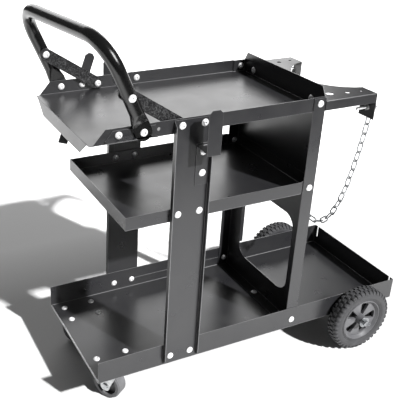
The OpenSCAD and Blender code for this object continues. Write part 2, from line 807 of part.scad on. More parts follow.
module rear_axle() color(zinc) placed() difference() {
    across(-axle_half, 2 * axle_half, axle_d);
    for (side = [-1, 1])
        translate([axle_x, side * pin_y(), axle_z]) rotate([0, pin_turn, 0])
            cylinder(h = 2 * axle_d, d = pin_d + 2 * thread_slack, center = true);
}

module axle_ears() color(steel_black) placed() for (side = [-1, 1]) sided(side) difference() {
    union() {
        translate([axle_x, ear_y, 0]) upright(ear_t)
            polygon([[-ear_w / 2, base_z], [-axle_d, axle_z - axle_d / 2 - ear_drop],
                [axle_d, axle_z - axle_d / 2 - ear_drop], [ear_w / 2, base_z]]);
        translate([axle_x - ear_w / 2, ear_y - ear_foot_l, base_z - ear_t])
            cube([ear_w, ear_foot_l + ear_t, ear_t]);
    }
    across(0, half_w, axle_d + 2 * run_slack);
}

// Washers on both sides of each wheel
module axle_washers() color(zinc) placed() for (side = [-1, 1]) sided(side)
    for (place = [[wheel_in - hub_over_in - turn_gap - washer_t, washer_in_r],
        [wheel_in + tyre_w + hub_over + turn_gap, washer_r]])
        difference() {
            across(place[0], washer_t, 2 * place[1]);
            across(place[0] - cut, washer_t + 2 * cut, axle_d + 2 * run_slack);
        }

module cotter_pins() color(zinc) placed() for (side = [-1, 1])
    translate([axle_x, side * pin_y(), axle_z]) rotate([0, pin_turn, 0]) {
        cylinder(h = pin_l, d = pin_d, center = true);
        translate([0, 0, pin_l / 2 + eye_r - eye_wire / 2]) rotate([90, 0, 0])
            rotate_extrude() translate([eye_r, 0]) circle(d = eye_wire);
    }

// Rear wheels: lugged rubber tyre on a spoked plastic hub
module lug_ring(turn)
    rotate(turn)
        for (i = [0:lug_count - 1])
            rotate(i * 360 / lug_count)
                translate([wheel_r - 2 * lug_h, -lug_share * PI * wheel_r / lug_count])
                    square([2 * lug_h, 2 * lug_share * PI * wheel_r / lug_count]);

module tyre_profile(r)
    difference() {
        translate([rim_r, -tyre_w / 2]) square([r - rim_r, tyre_w]);
        for (y = [-1, 1])
            translate([r, y * tyre_w / 2]) rotate(45)
                square(shoulder_r, center = true);
    }

module rear_tyre(side) color(rubber_grey) placed() sided(side)
    translate([axle_x, wheel_mid, axle_z]) rotate([90, 0, 0])
        intersection() {
            rotate_extrude($fn = 96) tyre_profile(wheel_r);
            union() {
                rotate_extrude($fn = 96) tyre_profile(wheel_r - lug_h);
                for (i = [0:lug_rows - 1])
                    translate([0, 0, -tyre_w / 2 + i * tyre_w / lug_rows])
                        linear_extrude(tyre_w / lug_rows)
                            lug_ring(-90 + (i == 1 ? 180 / lug_count : 0));
            }
        }
module rear_tyre_left() rear_tyre(1);
module rear_tyre_right() rear_tyre(-1);

module rear_hub(side) color(plastic_black) placed() sided(side)
    translate([axle_x, wheel_mid, axle_z]) rotate([90, 0, 0]) difference() {
        union() {
            rotate_extrude($fn = 96)
                polygon([[rim_r - rim_t, -rim_w / 2], [rim_r - thread_slack, -rim_w / 2],
                    [rim_r - thread_slack, rim_w / 2], [rim_r - rim_t, rim_w / 2]]);
            translate([0, 0, -disc_out]) linear_extrude(disc_t)
                for (i = [0:spoke_count - 1]) rotate(spoke_turn + i * 360 / spoke_count)
                    polygon(concat([[0, 0]], [for (a = [-spoke_spread / 2, 0, spoke_spread / 2])
                        (rim_r - rim_t / 2) * [cos(a), sin(a)]]));
            hub_bar(0, hub_r);
        }
        hub_bar(cut, axle_d / 2 + run_slack);
    }

// Round bar along a hub, with the tyre's outer side towards -Z
module hub_bar(over, r)
    translate([0, 0, -tyre_w / 2 - hub_over - over])
        cylinder(h = tyre_w + hub_over + hub_over_in + 2 * over, r = r);
module rear_hub_left() rear_hub(1);
module rear_hub_right() rear_hub(-1);

// Casters
function plate_bolt_places() =
    [for (x = [-1, 1], y = [-1, 1]) [x * plate_bolt_l / 2, y * plate_bolt_w / 2]];
module at_caster(side) placed() translate([caster_x, side * caster_y, 0]) children();
module turned(side) at_caster(side) rotate([0, 0, caster_turn]) children();

module ball_groove() rotate_extrude() translate([ball_ring_r, ball_z]) circle(d = ball_d + 2 * thread_slack);

module caster_plate(side) color(zinc) at_caster(side) difference() {
    union() {
        translate([0, 0, plate_z]) linear_extrude(plate_t) difference() {
            round_rect(plate_l, plate_w, plate_corner);
            for (p = plate_bolt_places()) translate(p) circle(d = hole_d);
        }
        translate([0, 0, race_low]) cylinder(h = race_t, r = race_r);
    }
    translate([0, 0, race_low - cut]) cylinder(h = race_t + cut, r = race_in_r);
    translate([0, 0, plate_z - cut]) cylinder(h = plate_t + 2 * cut, d = kingpin_d + 2 * run_slack);
    ball_groove();
}
module caster_plate_left() caster_plate(1);
module caster_plate_right() caster_plate(-1);

module caster_kingpin(side) color(zinc) at_caster(side) {
    translate([0, 0, crown_low - turn_gap - kingpin_head_t])
        cylinder(h = kingpin_head_t, r = kingpin_head_r);
    translate([0, 0, crown_low - turn_gap - kingpin_head_t])
        cylinder(h = base_z - crown_low + turn_gap + kingpin_head_t, d = kingpin_d);
}
module caster_kingpin_left() caster_kingpin(1);
module caster_kingpin_right() caster_kingpin(-1);

module caster_balls(side) color(zinc) at_caster(side)
    for (i = [0:ball_count - 1]) rotate(i * 360 / ball_count)
        translate([ball_ring_r, 0, ball_z]) sphere(d = ball_d);
module caster_balls_left() caster_balls(1);
module caster_balls_right() caster_balls(-1);

module caster_fork(side) color(zinc) turned(side) difference() {
    union() {
        translate([0, 0, crown_low]) cylinder(h = crown_t, r = crown_r);
        translate([0, 0, crown_top - cut]) cylinder(h = race_t + cut, r = race_r - crown_t);
        for (y = [-cheek_y - cheek_t, cheek_y]) translate([0, y, 0]) upright(cheek_t) {
            polygon([[-cheek_top_w / 2, crown_top], [cheek_top_w / 2, crown_top],
                [caster_trail + cheek_eye_r, caster_axle_z], [caster_trail - cheek_eye_r, caster_axle_z]]);
            translate([caster_trail, caster_axle_z]) circle(cheek_eye_r);
        }
    }
    translate([0, 0, crown_low - cut]) cylinder(h = crown_t + 2 * cut, d = kingpin_d + 2 * run_slack);
    translate([0, 0, crown_top]) cylinder(h = race_t + cut, r = race_in_r);
    ball_groove();
    caster_across(-cheek_y - cheek_t - cut, 2 * (cheek_y + cheek_t + cut), caster_axle_d + 2 * thread_slack);
}
module caster_across(y0, l, d)
    translate([caster_trail, y0, caster_axle_z]) rotate([-90, 0, 0]) cylinder(h = l, d = d);
module caster_fork_left() caster_fork(1);
module caster_fork_right() caster_fork(-1);

module caster_axle(side) color(zinc) turned(side) {
    y_out = cheek_y + cheek_t;
    caster_across(-y_out - caster_axle_head_t, 2 * (y_out + caster_axle_head_t), caster_axle_d);
    caster_across(y_out, caster_axle_head_t, 2 * caster_axle_head_r);
    caster_across(-y_out - caster_axle_head_t, caster_axle_head_t, 2 * caster_axle_head_r);
}
module caster_axle_left() caster_axle(1);
module caster_axle_right() caster_axle(-1);

module caster_wheel(side) color(plastic_black) turned(side) {
    seat_r = caster_wheel_d / 2 - caster_tread_t - thread_slack;
    translate([caster_trail, 0, caster_axle_z]) rotate([90, 0, 0]) difference() {
        union() {
            cylinder(h = caster_web_t, r = seat_r, center = true);
            cylinder(h = caster_wheel_w + 2 * (cheek_gap - turn_gap), r = caster_hub_r, center = true);
        }
        cylinder(h = caster_wheel_w * 2, r = caster_axle_d / 2 + run_slack, center = true);
    }
}
module caster_wheel_left() caster_wheel(1);
module caster_wheel_right() caster_wheel(-1);

module caster_tyre(side) color(rubber_grey) turned(side) {
    r = caster_wheel_d / 2;
    edge = caster_tread_t / 3;
    translate([caster_trail, 0, caster_axle_z]) rotate([90, 0, 0]) rotate_extrude($fn = 96)
        polygon([[r - caster_tread_t, -caster_wheel_w / 2], [r - edge, -caster_wheel_w / 2],
            [r, edge - caster_wheel_w / 2], [r, caster_wheel_w / 2 - edge],
            [r - edge, caster_wheel_w / 2], [r - caster_tread_t, caster_wheel_w / 2]]);
}
module caster_tyre_left() caster_tyre(1);
module caster_tyre_right() caster_tyre(-1);

module at_caster_bolts()
    for (side = [-1, 1], p = plate_bolt_places())
        translate([caster_x + p[0], side * (caster_y + p[1]), base_floor]) children();
module caster_bolts() color(zinc) placed() at_caster_bolts() bolt(sheet_t + plate_t);
module caster_nuts() color(zinc) placed() at_caster_bolts() nut(sheet_t + plate_t);

// Chain: a link is two half rings joined by two straight stretches, lying in X and Y
module link() {
    straight = link_inner_l - link_inner_w;
    for (turn = [0, 180]) rotate(turn) {
        translate([straight / 2, 0, 0]) rotate(-90)
            rotate_extrude(angle = 180) translate([link_bend_r, 0]) circle(r = wire_r);
        translate([-straight / 2, link_bend_r, 0]) rotate([0, 90, 0])
            cylinder(h = straight, r = wire_r);
    }
}

// A link along the chord between two joints, turned a quarter for every second link
module chain_link(i) {
    from = chain_joint(i);
    to = chain_joint(i + 1);
    ex = unit(to - from);
    flat = cross([1, 0, 0], ex);
    ey = i % 2 == 0 ? flat : [1, 0, 0];
    in_axes(ex, ey, cross(ex, ey), (from + to) / 2) link();
}

module bottle_chain() color(zinc) placed() for (i = [0:chain_links - 1]) chain_link(i);

// The link seated in the keyhole's slot, and the last link behind it
module chain_end_links() color(zinc) placed() {
    translate([seat_x, keyhole_y, seat_z]) rotate([90, 0, 0]) link();
    translate([seat_x - seat_reach, keyhole_y, chain_pivot_z - link_end]) rotate([0, 90, 0]) link();
}

module at_chain_bolt(x) translate([x, -chain_bolt_y, chain_bolt_z]) rotate([0, 90, 0]) children();
module chain_bolt() color(zinc) placed()
    at_chain_bolt(chain_head_x) bolt(chain_bolt_reach - nut_h - bolt_tail);
module chain_bolt_nuts() color(zinc) placed() {
    at_chain_bolt(rack_x1) nut(sheet_t);
    at_chain_bolt(rack_x1 + nut_h) nut(0);
}

bottom_tray();
middle_tray();
top_tray();
front_post_left();
front_post_right();
rear_frame();
bottle_rack();
handle();
handle_brace_left();
handle_brace_right();
brace_spacers();
handle_bracket_left();
handle_bracket_right();
cable_hook_left();
cable_hook_right();
side_bar();
post_bolts();
post_nuts();
frame_bolts();
frame_nuts();
handle_bolts();
handle_nuts();
hook_bolts();
hook_nuts();
rear_axle();
axle_ears();
axle_washers();
cotter_pins();
rear_tyre_left();
rear_hub_left();
rear_tyre_right();
rear_hub_right();
caster_plate_left();
caster_plate_right();
caster_kingpin_left();
caster_kingpin_right();
caster_balls_left();
caster_balls_right();
caster_fork_left();
caster_fork_right();
caster_axle_left();
caster_axle_right();
caster_wheel_left();
caster_wheel_right();
caster_tyre_left();
caster_tyre_right();
caster_bolts();
caster_nuts();
bottle_chain();
chain_end_links();
chain_bolt();
chain_bolt_nuts();
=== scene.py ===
"""Welding cart: black powder-coated sheet steel, bright zinc fasteners and chain, grey rubber tyres.

Sizes of the cart's own pieces are in millimetres, and mm() turns them to metres. Places and sizes in the
studio are in metres. The frame is the CAD's: +X towards the bottle end, +Y to the user's left and +Z up,
with its origin on the floor under the middle.
"""
import json
import math

import bmesh
import bpy
import numpy as np
from mathutils import Matrix, Vector


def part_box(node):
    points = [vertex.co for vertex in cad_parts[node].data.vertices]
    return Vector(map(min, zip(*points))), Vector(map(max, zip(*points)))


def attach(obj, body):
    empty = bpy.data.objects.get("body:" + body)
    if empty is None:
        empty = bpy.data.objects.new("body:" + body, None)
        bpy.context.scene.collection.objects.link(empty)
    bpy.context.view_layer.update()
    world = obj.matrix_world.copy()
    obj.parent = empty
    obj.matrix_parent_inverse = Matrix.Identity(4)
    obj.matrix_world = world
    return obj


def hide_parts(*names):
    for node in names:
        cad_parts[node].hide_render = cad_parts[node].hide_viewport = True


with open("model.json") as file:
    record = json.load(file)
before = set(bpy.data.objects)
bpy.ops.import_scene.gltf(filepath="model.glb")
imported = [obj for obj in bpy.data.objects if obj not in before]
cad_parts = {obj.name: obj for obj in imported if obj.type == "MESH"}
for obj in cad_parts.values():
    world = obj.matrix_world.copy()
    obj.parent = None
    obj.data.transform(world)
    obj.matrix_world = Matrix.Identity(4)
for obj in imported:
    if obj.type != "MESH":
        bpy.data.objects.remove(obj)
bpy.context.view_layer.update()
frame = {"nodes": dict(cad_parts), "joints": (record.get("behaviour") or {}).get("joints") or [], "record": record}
NODES = frame["nodes"]
BODY_OF = {node: body for body, nodes in frame["record"]["behaviour"]["bodies"].items() for node in nodes}
SLOT_OF = {node: thing.data.materials[0].name for node, thing in NODES.items()}
JOINT_AT = {joint["name"]: Vector(joint["pos_m"]) for joint in frame["joints"]}
SIDES = {"left": 1, "right": -1}
Y = Vector((0, 1, 0))
Z = Vector((0, 0, 1))

# The sRGB curve: straight below its knee and a power above it
SRGB_KNEE_SHARE = 0.04045
SRGB_SLOPE = 12.92
SRGB_LIFT_SHARE = 0.055
SRGB_POWER = 2.4


def mm(length):
    return length / 1000


def linear(code):
    """An sRGB hex colour as the linear colour that Blender's sockets take."""
    shares = [int(code[i:i + 2], 16) / 255 for i in (1, 3, 5)]
    return tuple(share / SRGB_SLOPE if share <= SRGB_KNEE_SHARE
                 else ((share + SRGB_LIFT_SHARE) / (1 + SRGB_LIFT_SHARE)) ** SRGB_POWER
                 for share in shares) + (1.0,)


def shown(name, data):
    """A new object in the scene that holds this mesh, curve, lamp or camera."""
    thing = bpy.data.objects.new(name, data)
    bpy.context.scene.collection.objects.link(thing)
    return thing


def plug(tree, node, inputs):
    """Sets a node's inputs, by name or number, to values, sockets or lists of them.

    Another node stands for its first output in use.
    """
    for name, given in inputs.items():
        for value in given if isinstance(given, list) else [given]:
            if isinstance(value, bpy.types.Node):
                value = next(socket for socket in value.outputs if socket.enabled)
            if isinstance(value, bpy.types.NodeSocket):
                tree.links.new(value, node.inputs[name])
            else:
                node.inputs[name].default_value = value


def add(tree, kind, inputs=None, **settings):
    """Adds a node with its settings and links."""
    node = tree.nodes.new(kind)
    for name, value in settings.items():
        setattr(node, name, value)
    plug(tree, node, inputs or {})
    return node


# Materials

# The two colours of a Mix node, by number
DARK_END = 6
LIGHT_END = 7
# Noise seldom leaves its middle, so patches are stretched from there
NOISE_LOW_SHARE = 0.3
NOISE_HIGH_SHARE = 0.7

# Patches of colour and gloss, by how many millimetres they are across
COAT_CLOUD = 45
ZINC_CLOUD = 9
DUST_PATCH = 22
NYLON_FLOW = 30
# Reliefs are so many millimetres across and high
SHEET_WAVE = {"across": 120, "height": 1.5, "detail": 1.0, "strength": 0.2}
ORANGE_PEEL = {"across": 3, "height": 0.012, "detail": 1.0, "strength": 0.2}
SPARK_GRAIN = {"across": 0.8, "height": 0.04, "detail": 2.0, "strength": 0.4}
CRATER_SPACING = 2.5
CRATER_DEPTH = 0.3
CRATER_RIM_SHARES = (0.1, 0.6)
SPECK_SHARES = (0.45, 0.65)
PIT_ACROSS = 1.2
TYRE_PIT_DEPTH = 0.08
CASTER_PIT_DEPTH = 0.05
# Forming marks in the steel under the zinc, across and deep
HEAD_MARKS = (1.5, 0.03)
PUNCHED_MARKS = (3, 0.15)
RUBBED_MARKS = (2, 0.02)
DRAWN_WIRE_MARKS = (2, 0.05)
PRESSED_MARKS = (4, 0.06)


def per_metre(size):
    """Scale of a pattern whose features are so many millimetres across."""
    return 1 / mm(size)


def new_material(name, **fixed):
    """A material whose shader has these fixed values, its node tree and the place that patterns read."""
    material = bpy.data.materials.new(name)
    material.use_nodes = True
    tree = material.node_tree
    shader = tree.nodes["Principled BSDF"]
    plug(tree, shader, fixed)
    return material, tree, shader, add(tree, "ShaderNodeTexCoord").outputs["Object"]


def tinted(tree, pattern, low, high, dark, light):
    """The colour that goes from dark to light as a pattern rises from low to high."""
    share = add(tree, "ShaderNodeMapRange", {"Value": pattern, "From Min": low, "From Max": high})
    return add(tree, "ShaderNodeMix", {0: share, DARK_END: dark, LIGHT_END: light}, data_type="RGBA")


def mottle(tree, shader, patches, dark, light, roughness):
    """Takes the surface in patches from its dark colour and first roughness to its light one and second."""
    colour = tinted(tree, patches, NOISE_LOW_SHARE, NOISE_HIGH_SHARE, linear(dark), linear(light))
    rough = add(tree, "ShaderNodeMapRange", {
        "Value": patches, "From Min": NOISE_LOW_SHARE, "From Max": NOISE_HIGH_SHARE,
        "To Min": roughness[0], "To Max": roughness[1]})
    plug(tree, shader, {"Base Color": colour, "Roughness": rough})


def relief(tree, shader, place, *layers):
    """Stacks bumps of noise on the surface, layer on layer."""
    ground = {}
    for layer in layers:
        pattern = add(tree, "ShaderNodeTexNoise", {
            "Vector": place, "Scale": per_metre(layer["across"]), "Detail": layer["detail"]})
        ground["Normal"] = add(tree, "ShaderNodeBump", {
            "Height": pattern, "Distance": mm(layer["height"]), "Strength": layer["strength"], **ground})
    plug(tree, shader, ground)


def powder_coat(name, dark, light, roughness):
    # Polyester powder coat, sprayed on folded steel and baked: semi-gloss, with the fine orange peel of
    # flowed powder, so that reflections are soft-edged and slightly mottled. The peel is drawn 3 mm across,
    # twice its real size so that it shows, and a slow wave of the sheet itself bends the reflections.
    material, tree, shader, place = new_material(name, IOR=1.58)
    cloud = add(tree, "ShaderNodeTexNoise", {"Vector": place, "Scale": per_metre(COAT_CLOUD), "Detail": 3.0})
    mottle(tree, shader, cloud, dark, light, roughness)
    relief(tree, shader, place, SHEET_WAVE, ORANGE_PEEL)
    return material


def hammered_coat(name, dark, light):
    # Hammer-effect enamel on the handle's flat braces: black skin broken up by pale pin-head craters, 2.5 mm
    # apart, that sparkle where the lamp meets their rims.
    material, tree, shader, place = new_material(name, IOR=1.5, Roughness=0.3)
    scale = per_metre(CRATER_SPACING)
    cells = add(tree, "ShaderNodeTexVoronoi", {"Vector": place, "Scale": scale, "Randomness": 0.9})
    rim_low, rim_high = CRATER_RIM_SHARES
    crater = add(tree, "ShaderNodeMapRange", {"Value": cells, "From Min": rim_low, "From Max": rim_high})
    dent = add(tree, "ShaderNodeBump", {"Height": crater, "Distance": mm(CRATER_DEPTH), "Strength": 0.5})
    speck = add(tree, "ShaderNodeTexNoise", {"Vector": place, "Scale": scale})
    colour = tinted(tree, speck, *SPECK_SHARES, linear(dark), linear(light))
    plug(tree, shader, {"Base Color": colour, "Normal": dent})
    return material


def zinc_plate(name, dark, light, roughness, marks, metal=1.0):
    # Bright electroplated zinc on cold-formed steel: a clean pale metal with cloudy patches and fine forming
    # marks, which break the highlight up. The marks are drawn coarser than real ones, so that they show.
    material, tree, shader, place = new_material(name, Metallic=metal)
    cloud = add(tree, "ShaderNodeTexNoise", {"Vector": place, "Scale": per_metre(ZINC_CLOUD), "Detail": 3.0})
    mottle(tree, shader, cloud, dark, light, roughness)
    across, deep = marks
    relief(tree, shader, place, {"across": across, "height": deep, "detail": 2.0, "strength": 0.35})
    return material


def moulded_rubber(name, dark, light, depth):
    # Rubber cured in a mould: dull grey-black, with a soft sheen, a fine pitted skin and patches of dust.
    # The pits are drawn 1.2 mm across, larger than real ones, so that they show.
    material, tree, shader, place = new_material(name, IOR=1.52)
    dust = add(tree, "ShaderNodeTexNoise", {
        "Vector": place, "Scale": per_metre(DUST_PATCH), "Detail": 4.0, "Roughness": 0.6})
    mottle(tree, shader, dust, dark, light, roughness=(0.5, 0.68))
    relief(tree, shader, place, {"across": PIT_ACROSS, "height": depth, "detail": 3.0, "strength": 0.5})
    return material


def moulded_nylon(name, dark, light):
    # Glass-filled nylon, injection moulded: satin dark grey with the even fine texture of a spark-eroded
    # mould. The grain is drawn 0.8 mm across, coarser than the real one, so that it shows.
    material, tree, shader, place = new_material(name, IOR=1.53)
    flow = add(tree, "ShaderNodeTexNoise", {"Vector": place, "Scale": per_metre(NYLON_FLOW)})
    mottle(tree, shader, flow, dark, light, roughness=(0.34, 0.46))
    relief(tree, shader, place, SPARK_GRAIN)
    return material


BLACK_COAT = powder_coat("semi_gloss_black_coat", "#1c1c1e", "#222223", roughness=(0.27, 0.33))
# The handle's tube was dipped, not sprayed: blacker, wetter, with narrow streaks of shine along it
TUBE_ENAMEL = powder_coat("gloss_black_tube_enamel", "#060606", "#0a0a0a", roughness=(0.19, 0.25))
# Round the outside of a fold the coat takes a sharper shine, and its colour is drawn paler: a painted highlight,
# the line of light that each fold catches
PAINTED_FOLD_HIGHLIGHT = powder_coat("coat_with_painted_fold_highlight", "#303031", "#3c3c3d", roughness=(0.2, 0.28))
# Sheared edges and tight inner bends are drawn pale: a painted highlight, the thin line of light that these edges
# catch
PAINTED_EDGE_HIGHLIGHT = powder_coat("coat_with_painted_edge_highlight", "#4a4a4b", "#5a5a5b", roughness=(0.3, 0.4))
BRACE_ENAMEL = hammered_coat("hammered_brace_enamel", "#09090a", "#3c3c3d")
# A white bloom of oxide lies over part of the heads and makes them pale from every side
FASTENER_ZINC = zinc_plate("bright_zinc_fasteners", "#e2e2e3", "#f4f4f4", roughness=(0.38, 0.5),
                           marks=HEAD_MARKS, metal=0.55)
WASHER_ZINC = zinc_plate("dull_zinc_washers_and_pins", "#6c6e70", "#a2a4a6", roughness=(0.3, 0.45),
                         marks=PUNCHED_MARKS)
BURNISHED_EDGE = zinc_plate("burnished_front_edge", "#c2c3c4", "#e2e2e3", roughness=(0.3, 0.4),
                            marks=RUBBED_MARKS)
CHAIN_ZINC = zinc_plate("zinc_plated_chain_wire", "#86888a", "#b8babc", roughness=(0.24, 0.4),
                        marks=DRAWN_WIRE_MARKS)
CASTER_ZINC = zinc_plate("zinc_plated_caster_steel", "#b9bbbd", "#dcdddd", roughness=(0.22, 0.36),
                         marks=PRESSED_MARKS)
TYRE_RUBBER = moulded_rubber("black_tyre_rubber", "#272728", "#353537", TYRE_PIT_DEPTH)
CASTER_RUBBER = moulded_rubber("grey_caster_rubber", "#4a4a4b", "#58585a", CASTER_PIT_DEPTH)
HUB_NYLON = moulded_nylon("moulded_hub_nylon", "#454547", "#4e4e50")
# The hub's back wall is drawn near black: painted shade seen through the windows between the spokes
HUB_BACK_SHADE = moulded_nylon("hub_back_wall_painted_shade", "#070707", "#0b0b0b")
SLOT_FINISH = {
    "black_powder_coat": BLACK_COAT,
    "zinc_fastener": FASTENER_ZINC,
    "chain_zinc": CHAIN_ZINC,
    "caster_zinc": CASTER_ZINC,
    "rear_tyre": TYRE_RUBBER,
    "caster_tyre": CASTER_RUBBER,
    "hub_plastic": HUB_NYLON,
}
# Nodes whose finish isn't the usual one of their slot
OWN_FINISH = {
    "rear_axle": WASHER_ZINC,
    "handle": TUBE_ENAMEL,
    "handle_brace_left": BRACE_ENAMEL,
    "handle_brace_right": BRACE_ENAMEL,
}


# Camera, lamps and floor

# Directions are in degrees, from +X towards +Y and above level. The lens and its sensor are in millimetres
CAMERA_AT = Vector((-0.7614, -1.1282, 1.0410))
CAMERA_AZIMUTH = 65.06
CAMERA_HEIGHT = -24.26
CAMERA_ROLL = 1.08
SENSOR = 36
LENS = 63.35
SHIFT_SHARES = (0.190, -0.0915)

CART_MIDDLE = Vector((0, 0, 0.4))
KEY_AZIMUTH = -66
KEY_HEIGHT = 39
KEY_SPREAD = 2
KEY_STRENGTH = 10.5
KEY_BOX_AWAY = 3.2
KEY_BOX_SIZE = (1.4, 1.4)
KEY_BOX_POWER = 100
BACK_BANK_AT = Vector((0.9, 3.2, 2.05))
BACK_BANK_AIM = Vector((0, 0, 0.45))
BACK_BANK_SIZE = (3.6, 1.7)
BACK_BANK_POWER = 56
SKY_WHITE = "#ffffff"
SKY_STRENGTH = 0.11

FLOOR_REACH = 8
# The white paper ends in front of the picture, where only the upper steel faces mirror the bare floor
PAPER_FRONT = -0.95
PAPER_FADE = 0.3
PAPER_WHITE = "#f4f4f4"
PAPER_ROUGHNESS = 0.9
BARE_FLOOR = "#1c1c1c"
# Under the cart the paper is drawn greyer than the rest, in a band along X round this Y: painted shade that
# deepens the cart's cast shadow
PAINTED_SHADE_MIDDLE = 0.1
PAINTED_SHADE_HALF = 0.2
PAINTED_SHADE_FADE = 0.25
PAPER_PAINTED_SHADE = "#bababa"


def heading(azimuth, height):
    """The direction at so many degrees from +X towards +Y, and so many above level."""
    level = math.cos(math.radians(height))
    return Vector((math.cos(math.radians(azimuth)) * level, math.sin(math.radians(azimuth)) * level,
                   math.sin(math.radians(height))))


def aim(ahead, roll=0):
    """The turn that looks along a direction with Z up, rolled by so many degrees."""
    right = ahead.cross(Z).normalized()
    up = right.cross(ahead)
    c, s = math.cos(math.radians(roll)), math.sin(math.radians(roll))
    return Matrix((right * c + up * s, up * c - right * s, -ahead)).transposed().to_4x4()


def set_camera():
    data = bpy.data.cameras.new("camera")
    data.sensor_width = SENSOR
    data.lens = LENS
    data.shift_x, data.shift_y = SHIFT_SHARES
    camera = shown("camera", data)
    ahead = heading(CAMERA_AZIMUTH, CAMERA_HEIGHT)
    camera.matrix_world = Matrix.Translation(CAMERA_AT) @ aim(ahead, CAMERA_ROLL)
    bpy.context.scene.camera = camera


def set_bank(name, place, target, size, power, lights_matte=True):
    """A rectangular light bank that faces its target. It can be left to the mirroring faces alone."""
    data = bpy.data.lights.new(name, "AREA")
    data.shape = "RECTANGLE"
    data.size, data.size_y = size
    data.energy = power
    bank = shown(name, data)
    bank.matrix_world = Matrix.Translation(place) @ aim((target - place).normalized())
    bank.visible_diffuse = lights_matte


def set_key():
    """The lamp that throws the long shadow away to the left. It is so far off that its rays are parallel.

    Steel and paint mirror the soft box in front of the lamp, not the lamp itself.
    """
    towards = heading(KEY_AZIMUTH, KEY_HEIGHT)
    data = bpy.data.lights.new("key", "SUN")
    data.energy = KEY_STRENGTH
    data.angle = math.radians(KEY_SPREAD)
    key = shown("key", data)
    key.matrix_world = aim(-towards)
    key.visible_glossy = False
    set_bank("key_box", CART_MIDDLE + towards * KEY_BOX_AWAY, CART_MIDDLE, KEY_BOX_SIZE, KEY_BOX_POWER,
             lights_matte=False)


def set_studio():
    scene = bpy.context.scene
    scene.view_settings.view_transform = "Standard"
    world = bpy.data.worlds.new("white_studio")
    scene.world = world
    world.use_nodes = True
    plug(world.node_tree, world.node_tree.nodes["Background"],
         {"Color": linear(SKY_WHITE), "Strength": SKY_STRENGTH})
    set_key()
    # A broad bank behind and above is what the level floors of the trays mirror
    set_bank("back_bank", BACK_BANK_AT, BACK_BANK_AIM, BACK_BANK_SIZE, BACK_BANK_POWER)


def lay_floor():
    """A bare dark floor with the white paper on it."""
    mesh = bpy.data.meshes.new("studio_floor")
    corners = [(x * FLOOR_REACH, y * FLOOR_REACH, 0) for x, y in ((-1, -1), (1, -1), (1, 1), (-1, 1))]
    mesh.from_pydata(corners, [], [tuple(range(len(corners)))])
    material, tree, shader, place = new_material("paper_sweep_with_painted_shade", Roughness=PAPER_ROUGHNESS)
    forward = add(tree, "ShaderNodeSeparateXYZ", {0: place}).outputs["Y"]
    beside = add(tree, "ShaderNodeMath", {0: forward, 1: PAINTED_SHADE_MIDDLE}, operation="SUBTRACT")
    beside = add(tree, "ShaderNodeMath", {0: beside}, operation="ABSOLUTE")
    # The grey band under the cart is painted shade
    paper = tinted(tree, beside, PAINTED_SHADE_HALF, PAINTED_SHADE_HALF + PAINTED_SHADE_FADE, linear(PAPER_PAINTED_SHADE), linear(PAPER_WHITE))
    plug(tree, shader, {"Base Color": tinted(tree, forward, PAPER_FRONT - PAPER_FADE, PAPER_FRONT,
                                             linear(BARE_FLOOR), paper)})
    mesh.materials.append(material)
    shown("studio_floor", mesh)


# Meshes

# Corners of the CAD's triangles this close are one corner, and faces this small are none
WELD = 0.002
SLIVER = 0.01
# Faces of the CAD that turn by less than this are one flat face
FLAT_TURN = math.radians(0.5)
# The profile of a bevel that is part of a circle
ROUND_SHARE = 0.5


def stand_for(piece, node):
    """Puts a finished piece on the body of the CAD node that it stands for, and hides that node."""
    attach(piece, BODY_OF[node])
    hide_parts(node)


def smooth(mesh, crease):
    """Smooth shading that keeps the edges sharper than the crease, in degrees."""
    mesh.shade_smooth()
    mesh.set_sharp_from_angle(angle=math.radians(crease))


def finished(name, shape, *materials):
    """Turns a bmesh into an object in the scene."""
    mesh = bpy.data.meshes.new(name)
    shape.to_mesh(mesh)
    shape.free()
    for material in materials:
        mesh.materials.append(material)
    return shown(name, mesh)


def rounded(shape, edges, radius, segments, material=0):
    """Rounds edges off, and gives the new faces the material of that number."""
    bmesh.ops.bevel(shape, geom=edges, offset=mm(radius), offset_type="OFFSET", segments=segments,
                    profile=ROUND_SHARE, affect="EDGES", clamp_overlap=True, material=material)


def joined(name, pieces, crease):
    """One plain mesh of several, each with its own materials."""
    shape = bmesh.new()
    materials = []
    for piece in pieces:
        known = len(shape.faces)
        shape.from_mesh(piece.data)
        shape.faces.ensure_lookup_table()
        for material in piece.data.materials:
            if material not in materials:
                materials.append(material)
        for face in shape.faces[known:]:
            face.material_index = materials.index(piece.data.materials[face.material_index])
        bpy.data.objects.remove(piece)
    whole = finished(name, shape, *materials)
    smooth(whole.data, crease)
    return whole


def welded(node):
    """A copy of a CAD node's loose triangles, joined at their corners."""
    shape = bmesh.new()
    shape.from_mesh(NODES[node].data)
    bmesh.ops.remove_doubles(shape, verts=shape.verts, dist=mm(WELD))
    return shape


def solids_of(node):
    """The points of each separate solid of a CAD node."""
    shape = welded(node)
    # A dictionary keeps the mesh's own order, so every run finds the points in the same one
    left = dict.fromkeys(shape.verts)
    found = []
    while left:
        reached = [left.popitem()[0]]
        group = []
        while reached:
            vertex = reached.pop()
            group.append(vertex.co[:])
            for edge in vertex.link_edges:
                other = edge.other_vert(vertex)
                if other in left:
                    del left[other]
                    reached.append(other)
        found.append(np.array(group))
    shape.free()
    return sorted(found, key=lambda points: tuple(np.round(points.mean(0), 4)))


def middle_of(points):
    return (points.min(0) + points.max(0)) / 2


def main_directions(points):
    """The directions in which a solid is longest and thinnest."""
    ways = np.linalg.svd(points - points.mean(0), full_matrices=False)[2]
    return ways[0], ways[2]


# Folded sheets

SHEETS = ["bottom_tray", "middle_tray", "top_tray", "front_post_left", "front_post_right", "rear_frame",
          "bottle_rack", "cable_hook_left", "cable_hook_right", "handle_bracket_left",
          "handle_bracket_right"]
